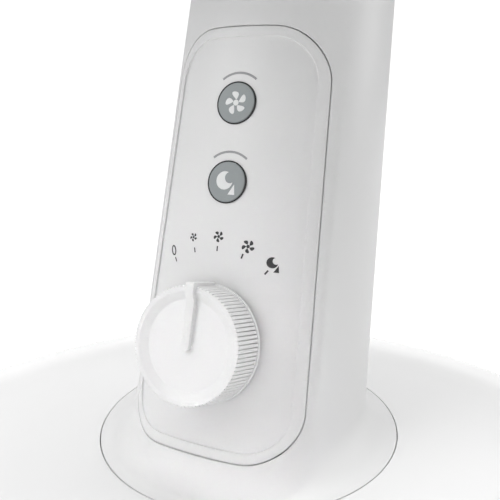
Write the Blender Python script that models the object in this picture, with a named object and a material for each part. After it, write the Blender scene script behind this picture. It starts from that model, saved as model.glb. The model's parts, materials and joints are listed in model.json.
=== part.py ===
"""Table fan: a round weighted base, a leaning column with a control panel, and a tilting, swinging head.

The origin is on the floor under the centre of the round base. +Z is up, and the front looks along -Y.
All lengths are in metres.
"""
import math

import bmesh
import bpy
from mathutils import Matrix

# Fits
GAP = 0.0003                    # between pieces that rest on or in each other
PAST = 0.001                    # how far a cutter runs past what it cuts
RUNNING_GAP = 0.0004            # between pieces that move past each other
MERGE = 0.000001
# Turn of every round piece, as a share of a side, so that no two of them line up edge on edge
ROD_TURN = math.radians(133)

# Sides of round pieces, by size
LARGE = 36
MEDIUM = 20
SMALL = 12
TINY = 8

# Base
BASE_RADIUS = 0.1633            # widest
BASE_TURN = 0.0053              # from the widest place in to where the dome starts
BASE_DRAFT = 0.001              # how much narrower the underside is
BASE_DOME_EDGE_Z = 0.0145
BASE_DOME_POWER = 1.9
BASE_DOME_STEPS = 5
BASE_SIDE_Z = 0.0075
BASE_UNDERSIDE_Z = 0.0025
BASE_WALL = 0.0028
BASE_SIDES = 48
PLATE_Z = 0.005
PLATE_THICKNESS = 0.002
FOOT_PAD_RADIUS = 0.010
FOOT_PAD_INSET = 0.0233         # from the widest place
WEIGHT_FOOT_MARGIN = 0.013
WEIGHT_INSET = 0.0433
WEIGHT_HEIGHT = 0.0075
GLAND_WALL = 0.0012
GLAND_LENGTH = 0.014
GLAND_BORE = 0.0033
GLAND_Z = 0.0088
CAPACITOR_LENGTH = 0.038
CAPACITOR_DEPTH = 0.020
CAPACITOR_HEIGHT = 0.017
CAPACITOR_EDGE = 0.001

# Column and its flared foot
FOOT_Z = 0.0353                 # the seam where the foot meets the dome
FOOT_RADIUS = 0.053
FOOT_EDGE = 0.003
FOOT_LEDGE = 0.0135             # how far the base reaches in under the foot
FLARE_HEIGHT = 0.011
FLARE_STEPS = 5
COLUMN_TOP_Z = 0.282
COLUMN_HALF_WIDTH = 0.03907     # at the height of the knob
COLUMN_TAPER = 0.036            # half width lost per metre of height
COLUMN_POWER = 2.3              # 2 is an ellipse, more is squarer
COLUMN_BACK_Y = 0.0576          # at the seam
COLUMN_BACK_SLOPE = 0.235
COLUMN_WALL = 0.003
COLUMN_SIDES = 48

# Control panel, set in the front of the column
KNOB_Y = -0.01106
KNOB_Z = 0.077
PANEL_LEAN = math.radians(17.234)
PANEL_LOW = -0.0352
PANEL_HIGH = 0.1002
PANEL_SIDE_MARGIN = 0.00857     # from the panel's edge to the column's side
PANEL_CORNER = 0.0165
PANEL_CORNER_STEPS = 6
PANEL_RIM = 0.0034
PANEL_RECESS = 0.0007
PANEL_THICKNESS = 0.0025

# Knob
KNOB_RADIUS = 0.018             # at the front
KNOB_DRAFT = 0.0004
KNOB_FLANGE_LIP = 0.0004
KNOB_FLANGE_THICKNESS = 0.0011
KNOB_STANDOFF = 0.0005
KNOB_HEIGHT = 0.013
KNOB_EDGE = 0.0005
KNOB_WALL = 0.0024
KNOB_GROOVES = 90
KNOB_GROOVE_DEPTH = 0.00035
KNOB_SMOOTH_SIDES = 36
KNOB_RIM = 0.0015               # flat ring round the dish
KNOB_DISH_SLOPE = 0.0031        # width of the dish's sloping wall
KNOB_DISH_DEPTH = 0.0009
KNOB_BOSS_WALL = 0.0022
POINTER_WIDTH = 0.0021
POINTER_HEIGHT = 0.001          # over the dish
POINTER_RIM_HEIGHT = 0.0006     # over the rim and the side
SWITCH_SHAFT_RADIUS = 0.003
SWITCH_SIZE = 0.026
SWITCH_DEPTH = 0.012
SWITCH_EDGE = 0.0008
SWITCH_COLLAR_WALL = 0.0022
SWITCH_FLOOR = 0.002

# Push buttons and their board
TURBO_U = 0.0758                # distance up the panel from the knob
NIGHT_U = 0.0508
BUTTON_RADIUS = 0.0064
BUTTON_EDGE = 0.0004
BUTTON_PROUD = 0.0004
BUTTON_FLANGE_LIP = 0.0012
BUTTON_FLANGE_THICKNESS = 0.0007
BUTTON_STEM_RADIUS = 0.0022
BUTTON_STEM = 0.0006
BUTTON_TRAVEL = 0.0012
TACT_SWITCH_SIZE = 0.006
TACT_SWITCH_HEIGHT = 0.0032
TACT_SWITCH_EDGE = 0.0004
TACT_PLUNGER_RADIUS = 0.0017
TACT_PLUNGER = 0.0006
BOARD_HALF_WIDTH = 0.0135
BOARD_MARGIN = 0.0135
BOARD_THICKNESS = 0.0016
POST_RADIUS = 0.0020

# Tilt joint on top of the column
TILT_CLEARANCE = 0.0025         # under the knuckle
KNUCKLE_RADIUS = 0.0147
KNUCKLE_WIDTH = 0.026
EAR_THICKNESS = 0.0057
EAR_STEPS = 12
BRACKET_FLANGE = 0.0035
BRACKET_PLUG = 0.018
TILT_BOLT_RADIUS = 0.004
TILT_BOLT_HEAD_RIM = 0.004      # from the shank out to the head's edge
TILT_BOLT_HEAD = 0.004
TILT_BOLT_EDGE = 0.0012
TILT_NUT_RADIUS = 0.011
TILT_NUT_LENGTH = 0.012
TILT_NUT_LOBES = 6
TILT_NUT_LOBE_DEPTH = 0.0007
TILT_NUT_EDGE = 0.0009

# Neck, carrying the upright pin that the head swings on
NECK_TUBE_WALL = 0.0027
NECK_STEM_STEP = 0.001          # the stem under the flange is this much thicker
NECK_FLANGE_RIM = 0.010
NECK_FLANGE_THICKNESS = 0.0045
SWING_PIN_RADIUS = 0.006
BUSH_WALL = 0.0016
ARM_REACH = 0.026
ARM_END_RADIUS = 0.004
ARM_THICKNESS = 0.003

# Motor
SHAFT_RADIUS = 0.004
STATOR_RADIUS = 0.033
STATOR_LENGTH = 0.028
ROTOR_RADIUS = 0.0169
WINDING_SLEEVE = 0.0018         # from the rotor out to the stator's laminations
WINDING_INSET = 0.004
WINDING_OVERHANG = 0.008
WINDING_ROUND = 0.0029
BELL_DEPTH = 0.015
BELL_WALL = 0.002
BELL_EDGE = 0.0026
BEARING_WALL = 0.0031
BEARING_LENGTH = 0.0056
BEARING_BOSS_LENGTH = 0.004
MOTOR_BACK = -0.0027            # ahead of the swing axis
SADDLE_THICKNESS = 0.004
SADDLE_HALF_WIDTH = 0.012
COVER_ROOM = 0.0035             # from the neck's arm out to the inside of the cover
COVER_BACK_ROOM = 0.0091
COVER_WALL = 0.002
COVER_DOME_LENGTH = 0.027
COVER_DOME_STEPS = 4
COVER_NECK_ROOM = 0.0025
COVER_NECK_CLEARANCE = 0.00378705  # from the neck's flange up to the cover
FRONT_PLATE_THICKNESS = 0.003
FRONT_BOSS_RADIUS = 0.017
FRONT_BOSS_LENGTH = 0.011
GRILLE_NUT_RIM = 0.010
GRILLE_NUT_LENGTH = 0.0075

# Swing drive
WORM_STEP = 0.0005              # the worm is this much thinner than the shaft
WORM_LENGTH = 0.023
WHEEL_TEETH = 24
WHEEL_TIP_RADIUS = 0.0097
WHEEL_TOOTH = 0.0016
WHEEL_THICKNESS = 0.004
GEAR_MODULE = 0.0009
GEAR_TIP_MODULES = 0.7          # tooth height outside the pitch circle
GEAR_ROOT_MODULES = 1.2
TOOTH_TIP_SHARE = 0.11          # half widths, as shares of the pitch
TOOTH_ROOT_SHARE = 0.30
PINION_TEETH = 10
GEAR_TEETH = 30
GEAR_THICKNESS = 0.004
GEAR_DROP = 0.0100
CASE_WALL = 0.002
CASE_TOP = 0.007
CASE_BOTTOM = -0.019
CRANK_SHAFT_RADIUS = 0.003
CRANK_DISC_RADIUS = 0.009
CRANK_DISC_THICKNESS = 0.003
CRANK_THROW = 0.0055
CRANK_PIN_RADIUS = 0.0018
LINK_THICKNESS = 0.002
LINK_EYE_WALL = 0.0022
CLUTCH_ROD_RADIUS = 0.002
CLUTCH_KNOB_RADIUS = 0.007
CLUTCH_KNOB_NECK = 0.0052
CLUTCH_KNOB_EDGE = 0.0014
CLUTCH_KNOB_HEIGHT = 0.010

# Cage
CAGE_RADIUS = 0.176
CAGE_RIM_LEAD = 0.007           # the rim's plane ahead of the blades' middle
CAGE_RIM_WIDTH = 0.006
CAGE_FRONT_DEPTH = 0.042
CAGE_RIBS = 32
CAGE_RIB_WIDTH = 0.0018
CAGE_RING_WIDTH = 0.003
CAGE_THICKNESS = 0.0016
CAGE_MOUNT_MARGIN = 0.002
CAGE_MIDDLE_RING = 0.099
CAGE_REAR_POWER = 6             # flatness of the middle
CAGE_FRONT_POWER = 5
FRONT_HUB_RADIUS = 0.034
FRONT_SWEEP = math.radians(24)
RIM_RING_WALL = 0.0026
RIM_RING_SIDES = 48
RIM_RING_LIP = 0.0035
CAP_THICKNESS = 0.004
CAP_EDGE = 0.0034
LATCH_WIDTH = 0.014
LATCH_THICKNESS = 0.002
LATCH_PIN_RADIUS = 0.0011
LATCH_EAR = 0.0025

# Blades
BLADES = 5
BLADE_TIP_GAP = 0.026           # to the cage's outer edge
BLADE_STANDOFF = 0.0128         # from the motor's boss to the hub
BLADE_THICKNESS = 0.002
BLADE_STATIONS = 5
BLADE_CHORD_POINTS = 4
BLADE_ROOT_PITCH = math.radians(34)
BLADE_TIP_PITCH = math.radians(20)
BLADE_ROOT_ANGLE = math.radians(46)     # width seen from the front, at the hub
BLADE_TIP_ANGLE = math.radians(36)
BLADE_BELLY = math.radians(14)
BLADE_SWEEP = math.radians(26)
BLADE_SWEEP_POWER = 1.5
BLADE_CAMBER = 0.004
BLADE_FLATTENING = 0.28         # share of the pitch lost at the tip
BLADE_CORNER = 0.06             # share of the reach lost at the tip's corners
HUB_RADIUS = 0.031
HUB_WALL = 0.0025
HUB_EDGE = 0.0031
HUB_DEPTH = 0.040
BLADE_NUT_RADIUS = 0.013
BLADE_NUT_EDGE = 0.0039
BLADE_NUT_LENGTH = 0.012

# Fasteners
SCREW_HEAD_RADIUS = 0.0029
SCREW_HEAD_EDGE = 0.0009
SCREW_HEAD_HEIGHT = 0.0016
SCREW_RADIUS = 0.0014
SCREW_HOLE_RADIUS = 0.0018
BOSS_RADIUS = 0.0042
COLUMN_SCREW_INSET = 0.010      # from the edge of the foot
COLUMN_SCREW_BITE = 0.0045
BASE_SCREW_INSET = 0.0253       # from the base's widest place

# Base places
BASE_DOME_RADIUS = BASE_RADIUS - BASE_TURN
BASE_UNDERSIDE_RADIUS = BASE_RADIUS - BASE_DRAFT
FOOT_PAD_CIRCLE = BASE_RADIUS - FOOT_PAD_INSET
BASE_SCREW_CIRCLE = BASE_RADIUS - BASE_SCREW_INSET
WEIGHT_INNER_RADIUS = FOOT_RADIUS + WEIGHT_FOOT_MARGIN
WEIGHT_OUTER_RADIUS = BASE_RADIUS - WEIGHT_INSET
FOOT_LEDGE_INNER_RADIUS = FOOT_RADIUS - FOOT_LEDGE
COLUMN_SCREW_CIRCLE = FOOT_RADIUS - COLUMN_SCREW_INSET
GLAND_RADIUS = GLAND_BORE + GLAND_WALL

# Column, panel and tilt axis places
COLUMN_SLOPE = (math.tan(PANEL_LEAN) + COLUMN_BACK_SLOPE) / 2
FRONT_AT_FOOT = KNOB_Y + math.tan(PANEL_LEAN) * (FOOT_Z - KNOB_Z)
FOOT_Y = (FRONT_AT_FOOT + COLUMN_BACK_Y) / 2
TILT_Z = COLUMN_TOP_Z + GAP + BRACKET_FLANGE + TILT_CLEARANCE + KNUCKLE_RADIUS
TILT_Y = FOOT_Y + COLUMN_SLOPE * (TILT_Z - FOOT_Z)
PANEL_HALF_WIDTH = COLUMN_HALF_WIDTH - PANEL_SIDE_MARGIN
KNOB_BACK_RADIUS = KNOB_RADIUS + KNOB_DRAFT
KNOB_FLANGE_RADIUS = KNOB_BACK_RADIUS + KNOB_FLANGE_LIP
KNOB_DISH_OUTER = KNOB_RADIUS - KNOB_RIM
KNOB_DISH_INNER = KNOB_DISH_OUTER - KNOB_DISH_SLOPE
KNOB_CAVITY_TOP = KNOB_HEIGHT - KNOB_DISH_DEPTH - KNOB_WALL
BUTTON_FLANGE_RADIUS = BUTTON_RADIUS + BUTTON_FLANGE_LIP

# Head places, ahead of the swing axis or above the tilt axis
BUSH_BORE = SWING_PIN_RADIUS + RUNNING_GAP
NECK_BORE = BUSH_BORE + BUSH_WALL + GAP
NECK_TUBE_RADIUS = NECK_BORE + NECK_TUBE_WALL
NECK_STEM_RADIUS = NECK_TUBE_RADIUS + NECK_STEM_STEP
NECK_FLANGE_RADIUS = NECK_STEM_RADIUS + NECK_FLANGE_RIM
NECK_FLANGE_LOW = KNUCKLE_RADIUS + PAST
NECK_FLANGE_HIGH = NECK_FLANGE_LOW + NECK_FLANGE_THICKNESS
ARM_DROP = STATOR_RADIUS + GAP + SADDLE_THICKNESS + LINK_THICKNESS + 2 * RUNNING_GAP + ARM_THICKNESS
COVER_INNER_RADIUS = math.hypot(ARM_REACH + ARM_END_RADIUS, ARM_DROP) + COVER_ROOM
COVER_RADIUS = COVER_INNER_RADIUS + COVER_WALL
MOTOR_HEIGHT = NECK_FLANGE_HIGH + COVER_NECK_CLEARANCE + COVER_RADIUS
STATOR_BORE = ROTOR_RADIUS + WINDING_SLEEVE
WINDING_RADIUS = STATOR_RADIUS - WINDING_INSET
BEARING_RADIUS = SHAFT_RADIUS + BEARING_WALL + RUNNING_GAP
STATOR_BACK = MOTOR_BACK + BELL_DEPTH + GAP
STATOR_FRONT = STATOR_BACK + STATOR_LENGTH
PLATE_BACK = STATOR_FRONT + GAP + BELL_DEPTH + GAP
PLATE_FRONT = PLATE_BACK + FRONT_PLATE_THICKNESS
SADDLE_TOP = MOTOR_HEIGHT - STATOR_RADIUS - GAP
LINK_TOP = SADDLE_TOP - SADDLE_THICKNESS - RUNNING_GAP
ARM_TOP = LINK_TOP - LINK_THICKNESS - RUNNING_GAP
CAGE_MOUNT_RADIUS = COVER_RADIUS + CAGE_MOUNT_MARGIN
CAGE_BACK = PLATE_FRONT + GAP + CAGE_THICKNESS / 2
NUT_BACK = PLATE_FRONT + 2 * GAP + CAGE_THICKNESS
BLADE_CENTRE = PLATE_FRONT + FRONT_BOSS_LENGTH + BLADE_STANDOFF + HUB_DEPTH / 2
BLADE_RADIUS = CAGE_RADIUS - BLADE_TIP_GAP
CAGE_RIM = BLADE_CENTRE + CAGE_RIM_LEAD
RIM_OFFSET = (CAGE_THICKNESS + GAP) / 2

# Swing drive places
WORM_RADIUS = SHAFT_RADIUS - WORM_STEP
WHEEL_X = WORM_RADIUS + GAP + WHEEL_TIP_RADIUS
GEAR_DISTANCE = GEAR_MODULE * (PINION_TEETH + GEAR_TEETH) / 2
CASE_FRONT = -MOTOR_BACK + GAP
WHEEL_AXIS_Y = CASE_FRONT + CASE_WALL + RUNNING_GAP + WHEEL_TIP_RADIUS
CRANK_Y = WHEEL_AXIS_Y + math.sqrt(GEAR_DISTANCE ** 2 - WHEEL_X ** 2)
GEAR_TIP = GEAR_MODULE * (GEAR_TEETH / 2 + GEAR_TIP_MODULES)
CASE_BACK = CRANK_Y + GEAR_TIP + RUNNING_GAP + CASE_WALL
COVER_DOME_END = -(CASE_BACK + BOSS_RADIUS + COVER_BACK_ROOM)
COVER_DOME_START = COVER_DOME_END + COVER_DOME_LENGTH

for old in list(bpy.data.objects):
    bpy.data.objects.remove(old, do_unlink=True)


def material(name, colour, roughness, metallic=0.0):
    made = bpy.data.materials.new(name)
    made.use_nodes = True
    shader = made.node_tree.nodes["Principled BSDF"]
    shader.inputs["Base Color"].default_value = (*colour, 1.0)
    shader.inputs["Roughness"].default_value = roughness
    shader.inputs["Metallic"].default_value = metallic
    return made


WHITE = material("white_plastic", (0.86, 0.86, 0.85), 0.42)
PANEL_WHITE = material("panel_plastic", (0.84, 0.84, 0.83), 0.5)
GREY = material("button_grey", (0.30, 0.32, 0.33), 0.45)
BLADE_WHITE = material("blade_plastic", (0.80, 0.81, 0.81), 0.35)
RUBBER = material("black_rubber", (0.03, 0.03, 0.03), 0.8)
STEEL = material("steel", (0.55, 0.56, 0.58), 0.3, 1.0)
IRON = material("weight_iron", (0.12, 0.12, 0.12), 0.7, 0.6)
COPPER = material("copper_winding", (0.60, 0.27, 0.12), 0.4, 0.9)
BRONZE = material("bearing_bronze", (0.50, 0.36, 0.16), 0.4, 1.0)
ALLOY = material("cast_alloy", (0.62, 0.63, 0.64), 0.45, 0.9)
NYLON = material("natural_nylon", (0.78, 0.76, 0.68), 0.5)
BOARD_GREEN = material("circuit_board", (0.05, 0.22, 0.10), 0.5)
DARK = material("dark_plastic", (0.06, 0.06, 0.065), 0.55)


def frame_empty(name, location, parent=None, rotation=(0.0, 0.0, 0.0)):
    empty = bpy.data.objects.new(name, None)
    bpy.context.scene.collection.objects.link(empty)
    empty.parent = parent
    empty.location = location
    empty.rotation_euler = rotation
    return empty


def solid(name, shape, finish, parent=None, at=(0.0, 0.0, 0.0)):
    """Make an object from a bmesh, closed up and with its faces pointing out."""
    bmesh.ops.remove_doubles(shape, verts=shape.verts, dist=MERGE)
    bmesh.ops.recalc_face_normals(shape, faces=shape.faces)
    mesh = bpy.data.meshes.new(name)
    shape.to_mesh(mesh)
    shape.free()
    mesh.shade_smooth()
    mesh.set_sharp_from_angle(angle=math.radians(30))
    if finish:
        mesh.materials.append(finish)
    made = bpy.data.objects.new(name, mesh)
    bpy.context.scene.collection.objects.link(made)
    made.parent = parent
    made.location = at
    return made


def tool(name, shape, parent=None, at=(0.0, 0.0, 0.0)):
    """A shape that only cuts, trims or joins."""
    made = solid(name, shape, None, parent, at)
    made.hide_render = True
    made.display_type = "WIRE"
    return made


def boolean(target, other, operation="DIFFERENCE"):
    step = target.modifiers.new(other.name, "BOOLEAN")
    step.object = other
    step.operation = operation
    return step


def turned(profile, sides, closed=True):
    """Spin a profile of (radius, height) points round the local Z axis."""
    shape = bmesh.new()
    verts = [shape.verts.new((radius, 0.0, height)) for radius, height in profile]
    edges = [shape.edges.new(pair) for pair in zip(verts, verts[1:])]
    if closed:
        edges.append(shape.edges.new((verts[-1], verts[0])))
    bmesh.ops.spin(shape, geom=verts + edges, cent=(0, 0, 0), axis=(0, 0, 1),
                   angle=2 * math.pi, steps=sides, use_merge=True)
    return shape


def rod(radius, low, high, sides=MEDIUM):
    """A plain cylinder, turned a little so that its edges don't line up with those of what it meets."""
    shape = turned([(0.0, low), (radius, low), (radius, high), (0.0, high)], sides, closed=False)
    shape.transform(Matrix.Rotation(ROD_TURN / sides, 4, "Z"))
    return shape


def tube(outer, inner, low, high, sides=MEDIUM):
    return turned([(inner, low), (outer, low), (outer, high), (inner, high)], sides)


def along_x(shape):
    shape.transform(Matrix.Rotation(math.pi / 2, 4, "Y"))
    return shape


def block(low, high, bevel=0.0):
    shape = bmesh.new()
    bmesh.ops.create_cube(shape, size=1.0)
    size = [b - a for a, b in zip(low, high)]
    middle = [(a + b) / 2 for a, b in zip(low, high)]
    shape.transform(Matrix.Translation(middle) @ Matrix.Diagonal((*size, 1.0)))
    if bevel:
        bmesh.ops.bevel(shape, geom=shape.edges[:], offset=bevel, segments=1, affect="EDGES")
    return shape


def loft(rings, close_ends=True):
    """Skin a list of rings that have equal counts of points."""
    shape = bmesh.new()
    rows = [[shape.verts.new(point) for point in ring] for ring in rings]
    count = len(rows[0])
    for low, high in zip(rows, rows[1:]):
        for i in range(count):
            j = (i + 1) % count
            shape.faces.new((low[i], low[j], high[j], high[i]))
    if close_ends:
        shape.faces.new(rows[0])
        shape.faces.new(rows[-1])
    return shape


def looped(rings):
    """Skin rings whose last joins the first, as a closed band."""
    return loft(rings + [rings[0]], close_ends=False)


def circle(radius, height, sides, centre_y=0.0, start=0.0):
    turn = 2 * math.pi / sides
    return [(radius * math.cos(start + i * turn), centre_y + radius * math.sin(start + i * turn), height)
            for i in range(sides)]


def prism(outline, low, high):
    return loft([[(x, y, low) for x, y in outline], [(x, y, high) for x, y in outline]])


def screw(name, length, parent=None, at=(0.0, 0.0, 0.0), rotation=(0.0, 0.0, 0.0)):
    """A pan head screw whose head rests at its origin and whose shank runs along local +Z."""
    profile = [(0.0, -SCREW_HEAD_HEIGHT), (SCREW_HEAD_RADIUS - SCREW_HEAD_EDGE, -SCREW_HEAD_HEIGHT),
               (SCREW_HEAD_RADIUS, SCREW_HEAD_EDGE - SCREW_HEAD_HEIGHT), (SCREW_HEAD_RADIUS, 0.0),
               (SCREW_RADIUS, 0.0), (SCREW_RADIUS, length), (0.0, length + SCREW_RADIUS / 2)]
    made = solid(name, turned(profile, TINY, closed=False), STEEL, parent, at)
    made.rotation_euler = rotation
    return made


# Base

def dome_z(radius):
    reach = (radius - FOOT_RADIUS) / (BASE_DOME_RADIUS - FOOT_RADIUS)
    return BASE_DOME_EDGE_Z + (FOOT_Z - BASE_DOME_EDGE_Z) * (1 - max(reach, 0.0) ** BASE_DOME_POWER)


def dome_centre_y(radius):
    """The dome's rings slide back from the rim's centre to the foot's."""
    reach = (BASE_DOME_RADIUS - radius) / (BASE_DOME_RADIUS - FOOT_RADIUS)
    return FOOT_Y * min(max(reach, 0.0), 1.0)


def dome_height_at(x, y):
    radius = math.hypot(x, y)
    for _ in range(8):
        radius = math.hypot(x, y - dome_centre_y(radius))
    return dome_z(radius)


def base_profile():
    """Outer side from the ledge's hole to the underside, then the inner side back."""
    seam = FOOT_RADIUS + GAP
    ledge_z = FOOT_Z - FOOT_EDGE - GAP
    dome = [seam + (BASE_DOME_RADIUS - seam) * i / BASE_DOME_STEPS for i in range(BASE_DOME_STEPS + 1)]
    slope = (BASE_DOME_EDGE_Z - dome_z(BASE_DOME_RADIUS - PAST)) / PAST
    corner_z = BASE_DOME_EDGE_Z + slope * (BASE_RADIUS - BASE_DOME_RADIUS)
    turn = ((BASE_DOME_RADIUS + 2 * BASE_RADIUS + BASE_RADIUS) / 4,
            (BASE_DOME_EDGE_Z + 2 * corner_z + BASE_SIDE_Z) / 4)
    outer = [(FOOT_LEDGE_INNER_RADIUS, ledge_z), (seam, ledge_z)]
    outer += [(r, dome_z(r)) for r in dome]
    outer += [turn, (BASE_RADIUS, BASE_SIDE_Z), (BASE_UNDERSIDE_RADIUS, BASE_UNDERSIDE_Z)]
    inner = [(BASE_UNDERSIDE_RADIUS - BASE_WALL, BASE_UNDERSIDE_Z), (BASE_RADIUS - BASE_WALL, BASE_SIDE_Z)]
    inner += [(r - BASE_WALL / 2, dome_z(r) - BASE_WALL) for r in reversed(dome[2:])]
    inner += [(seam + BASE_WALL, dome_z(seam) - BASE_WALL), (seam + BASE_WALL, ledge_z - BASE_WALL),
              (FOOT_LEDGE_INNER_RADIUS, ledge_z - BASE_WALL)]
    return outer + inner


def screw_spots(count, radius, first, centre_y=0.0):
    turn = 2 * math.pi / count
    return [(radius * math.cos(first + i * turn), centre_y + radius * math.sin(first + i * turn))
            for i in range(count)]


def build_base():
    rings = [circle(r, z, BASE_SIDES, dome_centre_y(r)) for r, z in base_profile()]
    cover = solid("base_cover", looped(rings), WHITE)
    plate = solid("base_plate", rod(BASE_UNDERSIDE_RADIUS - BASE_WALL - GAP, PLATE_Z,
                                    PLATE_Z + PLATE_THICKNESS, BASE_SIDES), DARK)
    plate_top = PLATE_Z + PLATE_THICKNESS
    for i, (x, y) in enumerate(screw_spots(3, BASE_SCREW_CIRCLE, math.radians(30)), 1):
        boss_top = dome_height_at(x, y) - BASE_WALL / 2
        bite = boss_top - plate_top - 2 * BASE_WALL
        boss = tool(f"base_boss_{i}", rod(BOSS_RADIUS, plate_top + GAP, boss_top, SMALL), at=(x, y, 0))
        hole = tool(f"base_boss_hole_{i}", rod(SCREW_HOLE_RADIUS, PLATE_Z - PAST, plate_top + bite, TINY),
                    at=(x, y, 0))
        boolean(cover, boss, "UNION")
        boolean(cover, hole)
        boolean(plate, hole)
        screw(f"base_screw_{i}", PLATE_THICKNESS + bite - 2 * PAST, at=(x, y, PLATE_Z - GAP))
    pad_height = PLATE_Z - GAP
    pad = [(0.0, 0.0), (FOOT_PAD_RADIUS * 0.9, 0.0), (FOOT_PAD_RADIUS, pad_height * 0.25),
           (FOOT_PAD_RADIUS, pad_height), (0.0, pad_height)]
    for i, (x, y) in enumerate(screw_spots(4, FOOT_PAD_CIRCLE, math.radians(45)), 1):
        solid(f"rubber_foot_{i}", turned(pad, SMALL, closed=False), RUBBER, at=(x, y, 0))
    weight_low = plate_top + GAP
    weight = tube(WEIGHT_OUTER_RADIUS, WEIGHT_INNER_RADIUS, weight_low, weight_low + WEIGHT_HEIGHT, LARGE)
    solid("base_weight", weight, IRON)
    build_gland(cover, plate)
    ledge_bottom = FOOT_Z - FOOT_EDGE - GAP - BASE_WALL
    for i, (x, y) in enumerate(column_screw_spots(), 1):
        hole = rod(SCREW_HOLE_RADIUS, ledge_bottom - PAST, FOOT_Z, TINY)
        boolean(cover, tool(f"ledge_hole_{i}", hole, at=(x, y, 0)))
        shank = BASE_WALL + GAP + COLUMN_SCREW_BITE - PAST
        screw(f"column_screw_{i}", shank, at=(x, y, ledge_bottom - GAP))
    case_low = (-CAPACITOR_LENGTH / 2, 0.0, plate_top + GAP)
    case_high = (CAPACITOR_LENGTH / 2, CAPACITOR_DEPTH, plate_top + GAP + CAPACITOR_HEIGHT)
    solid("run_capacitor", block(case_low, case_high, CAPACITOR_EDGE), DARK, at=(0, FOOT_Y, 0))


def column_screw_spots():
    return screw_spots(3, COLUMN_SCREW_CIRCLE, math.radians(90), FOOT_Y)


def build_gland(cover, plate):
    """The cord's inlet, low in the back of the base, where the plate is notched for it."""
    turn = (-math.pi / 2, 0.0, 0.0)
    place = (0, BASE_RADIUS - GLAND_LENGTH, GLAND_Z)
    inlet = [(GLAND_BORE, 0.0), (GLAND_RADIUS, 0.0), (GLAND_RADIUS, GLAND_LENGTH), (GLAND_BORE, GLAND_LENGTH)]
    gland = solid("cord_gland", turned(inlet, SMALL), RUBBER, at=place)
    gland.rotation_euler = turn
    hole = tool("gland_hole", rod(GLAND_RADIUS + GAP, 0.0, GLAND_LENGTH + BASE_WALL, SMALL), at=place)
    hole.rotation_euler = turn
    boolean(cover, hole)
    boolean(plate, hole)


# Column

def column_section(z, inset=0.0):
    half_width = COLUMN_HALF_WIDTH - COLUMN_TAPER * (z - KNOB_Z) - inset
    front = KNOB_Y + math.tan(PANEL_LEAN) * (z - KNOB_Z)
    back = COLUMN_BACK_Y + COLUMN_BACK_SLOPE * (z - FOOT_Z)
    half_depth = (back - front) / 2 - inset
    points = []
    for i in range(COLUMN_SIDES):
        angle = 2 * math.pi * i / COLUMN_SIDES
        c, s = math.cos(angle), math.sin(angle)
        x = half_width * math.copysign(abs(c) ** (2 / COLUMN_POWER), c)
        y = (front + back) / 2 + half_depth * math.copysign(abs(s) ** (2 / COLUMN_POWER), s)
        points.append((x, y, z))
    return points


def column_loft(inset, low, high):
    return loft([column_section(low, inset), column_section(high, inset)])


def flared_column():
    """The outside of the column, from the round foot up."""
    foot = circle(FOOT_RADIUS, FOOT_Z, COLUMN_SIDES, FOOT_Y)
    rings = [[(x, y, z - FOOT_EDGE) for x, y, z in foot], foot]
    for i in range(FLARE_STEPS - 1, -1, -1):
        turn = math.pi / 2 * i / FLARE_STEPS
        z = FOOT_Z + FLARE_HEIGHT * (1 - math.sin(turn))
        spread = 1 - math.cos(turn)
        section = column_section(z)
        rings.append([(a[0] + (b[0] - a[0]) * spread, a[1] + (b[1] - a[1]) * spread, z)
                      for a, b in zip(section, foot)])
    rings.append(column_section(COLUMN_TOP_Z))
    return loft(rings)


def panel_outline(inset):
    """The panel's rounded outline in its own plane, tapered as the column is."""
    corner = PANEL_CORNER - inset
    points = []
    spots = [(1, PANEL_LOW, -90), (1, PANEL_HIGH, 0), (-1, PANEL_HIGH, 90), (-1, PANEL_LOW, 180)]
    for side, end, first in spots:
        inward = 1 if end < 0 else -1
        centre_u = end + inward * (inset + corner)
        centre_x = side * (PANEL_HALF_WIDTH - COLUMN_TAPER * centre_u - inset - corner)
        for i in range(PANEL_CORNER_STEPS + 1):
            angle = math.radians(first + 90 * i / PANEL_CORNER_STEPS)
            points.append((centre_x + corner * math.cos(angle), centre_u + corner * math.sin(angle)))
    return points


def build_column(panel_frame):
    shell = solid("column_shell", flared_column(), WHITE)
    low = FOOT_Z - FOOT_EDGE - PAST
    boolean(shell, tool("column_core", column_loft(COLUMN_WALL, low, COLUMN_TOP_Z + PAST)))
    window = prism(panel_outline(0.0), -panel_depth(), FLARE_HEIGHT)
    boolean(shell, tool("panel_window", window, panel_frame))
    for i, (x, y) in enumerate(column_screw_spots(), 1):
        bottom = FOOT_Z - FOOT_EDGE
        hole = rod(SCREW_HOLE_RADIUS, bottom - PAST, bottom + COLUMN_SCREW_BITE, TINY)
        boolean(shell, tool(f"foot_hole_{i}", hole, at=(x, y, 0)))


# Control panel, in a frame whose X is across, Y up the panel and Z out of it

def panel_sag(x, inset=0.0):
    """How far the column's front has curved away from the panel plane at x from the middle."""
    half_width = COLUMN_HALF_WIDTH - inset
    half_depth = (COLUMN_BACK_Y - FRONT_AT_FOOT) / 2 - inset
    share = 1 - (abs(x) / half_width) ** COLUMN_POWER
    return half_depth * (1 - share ** (1 / COLUMN_POWER)) * math.cos(PANEL_LEAN)


def panel_depth():
    """How far behind the panel plane the column's wall reaches at the panel's edge, and a little more."""
    return panel_sag(PANEL_HALF_WIDTH, COLUMN_WALL) + 2 * COLUMN_WALL


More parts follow.
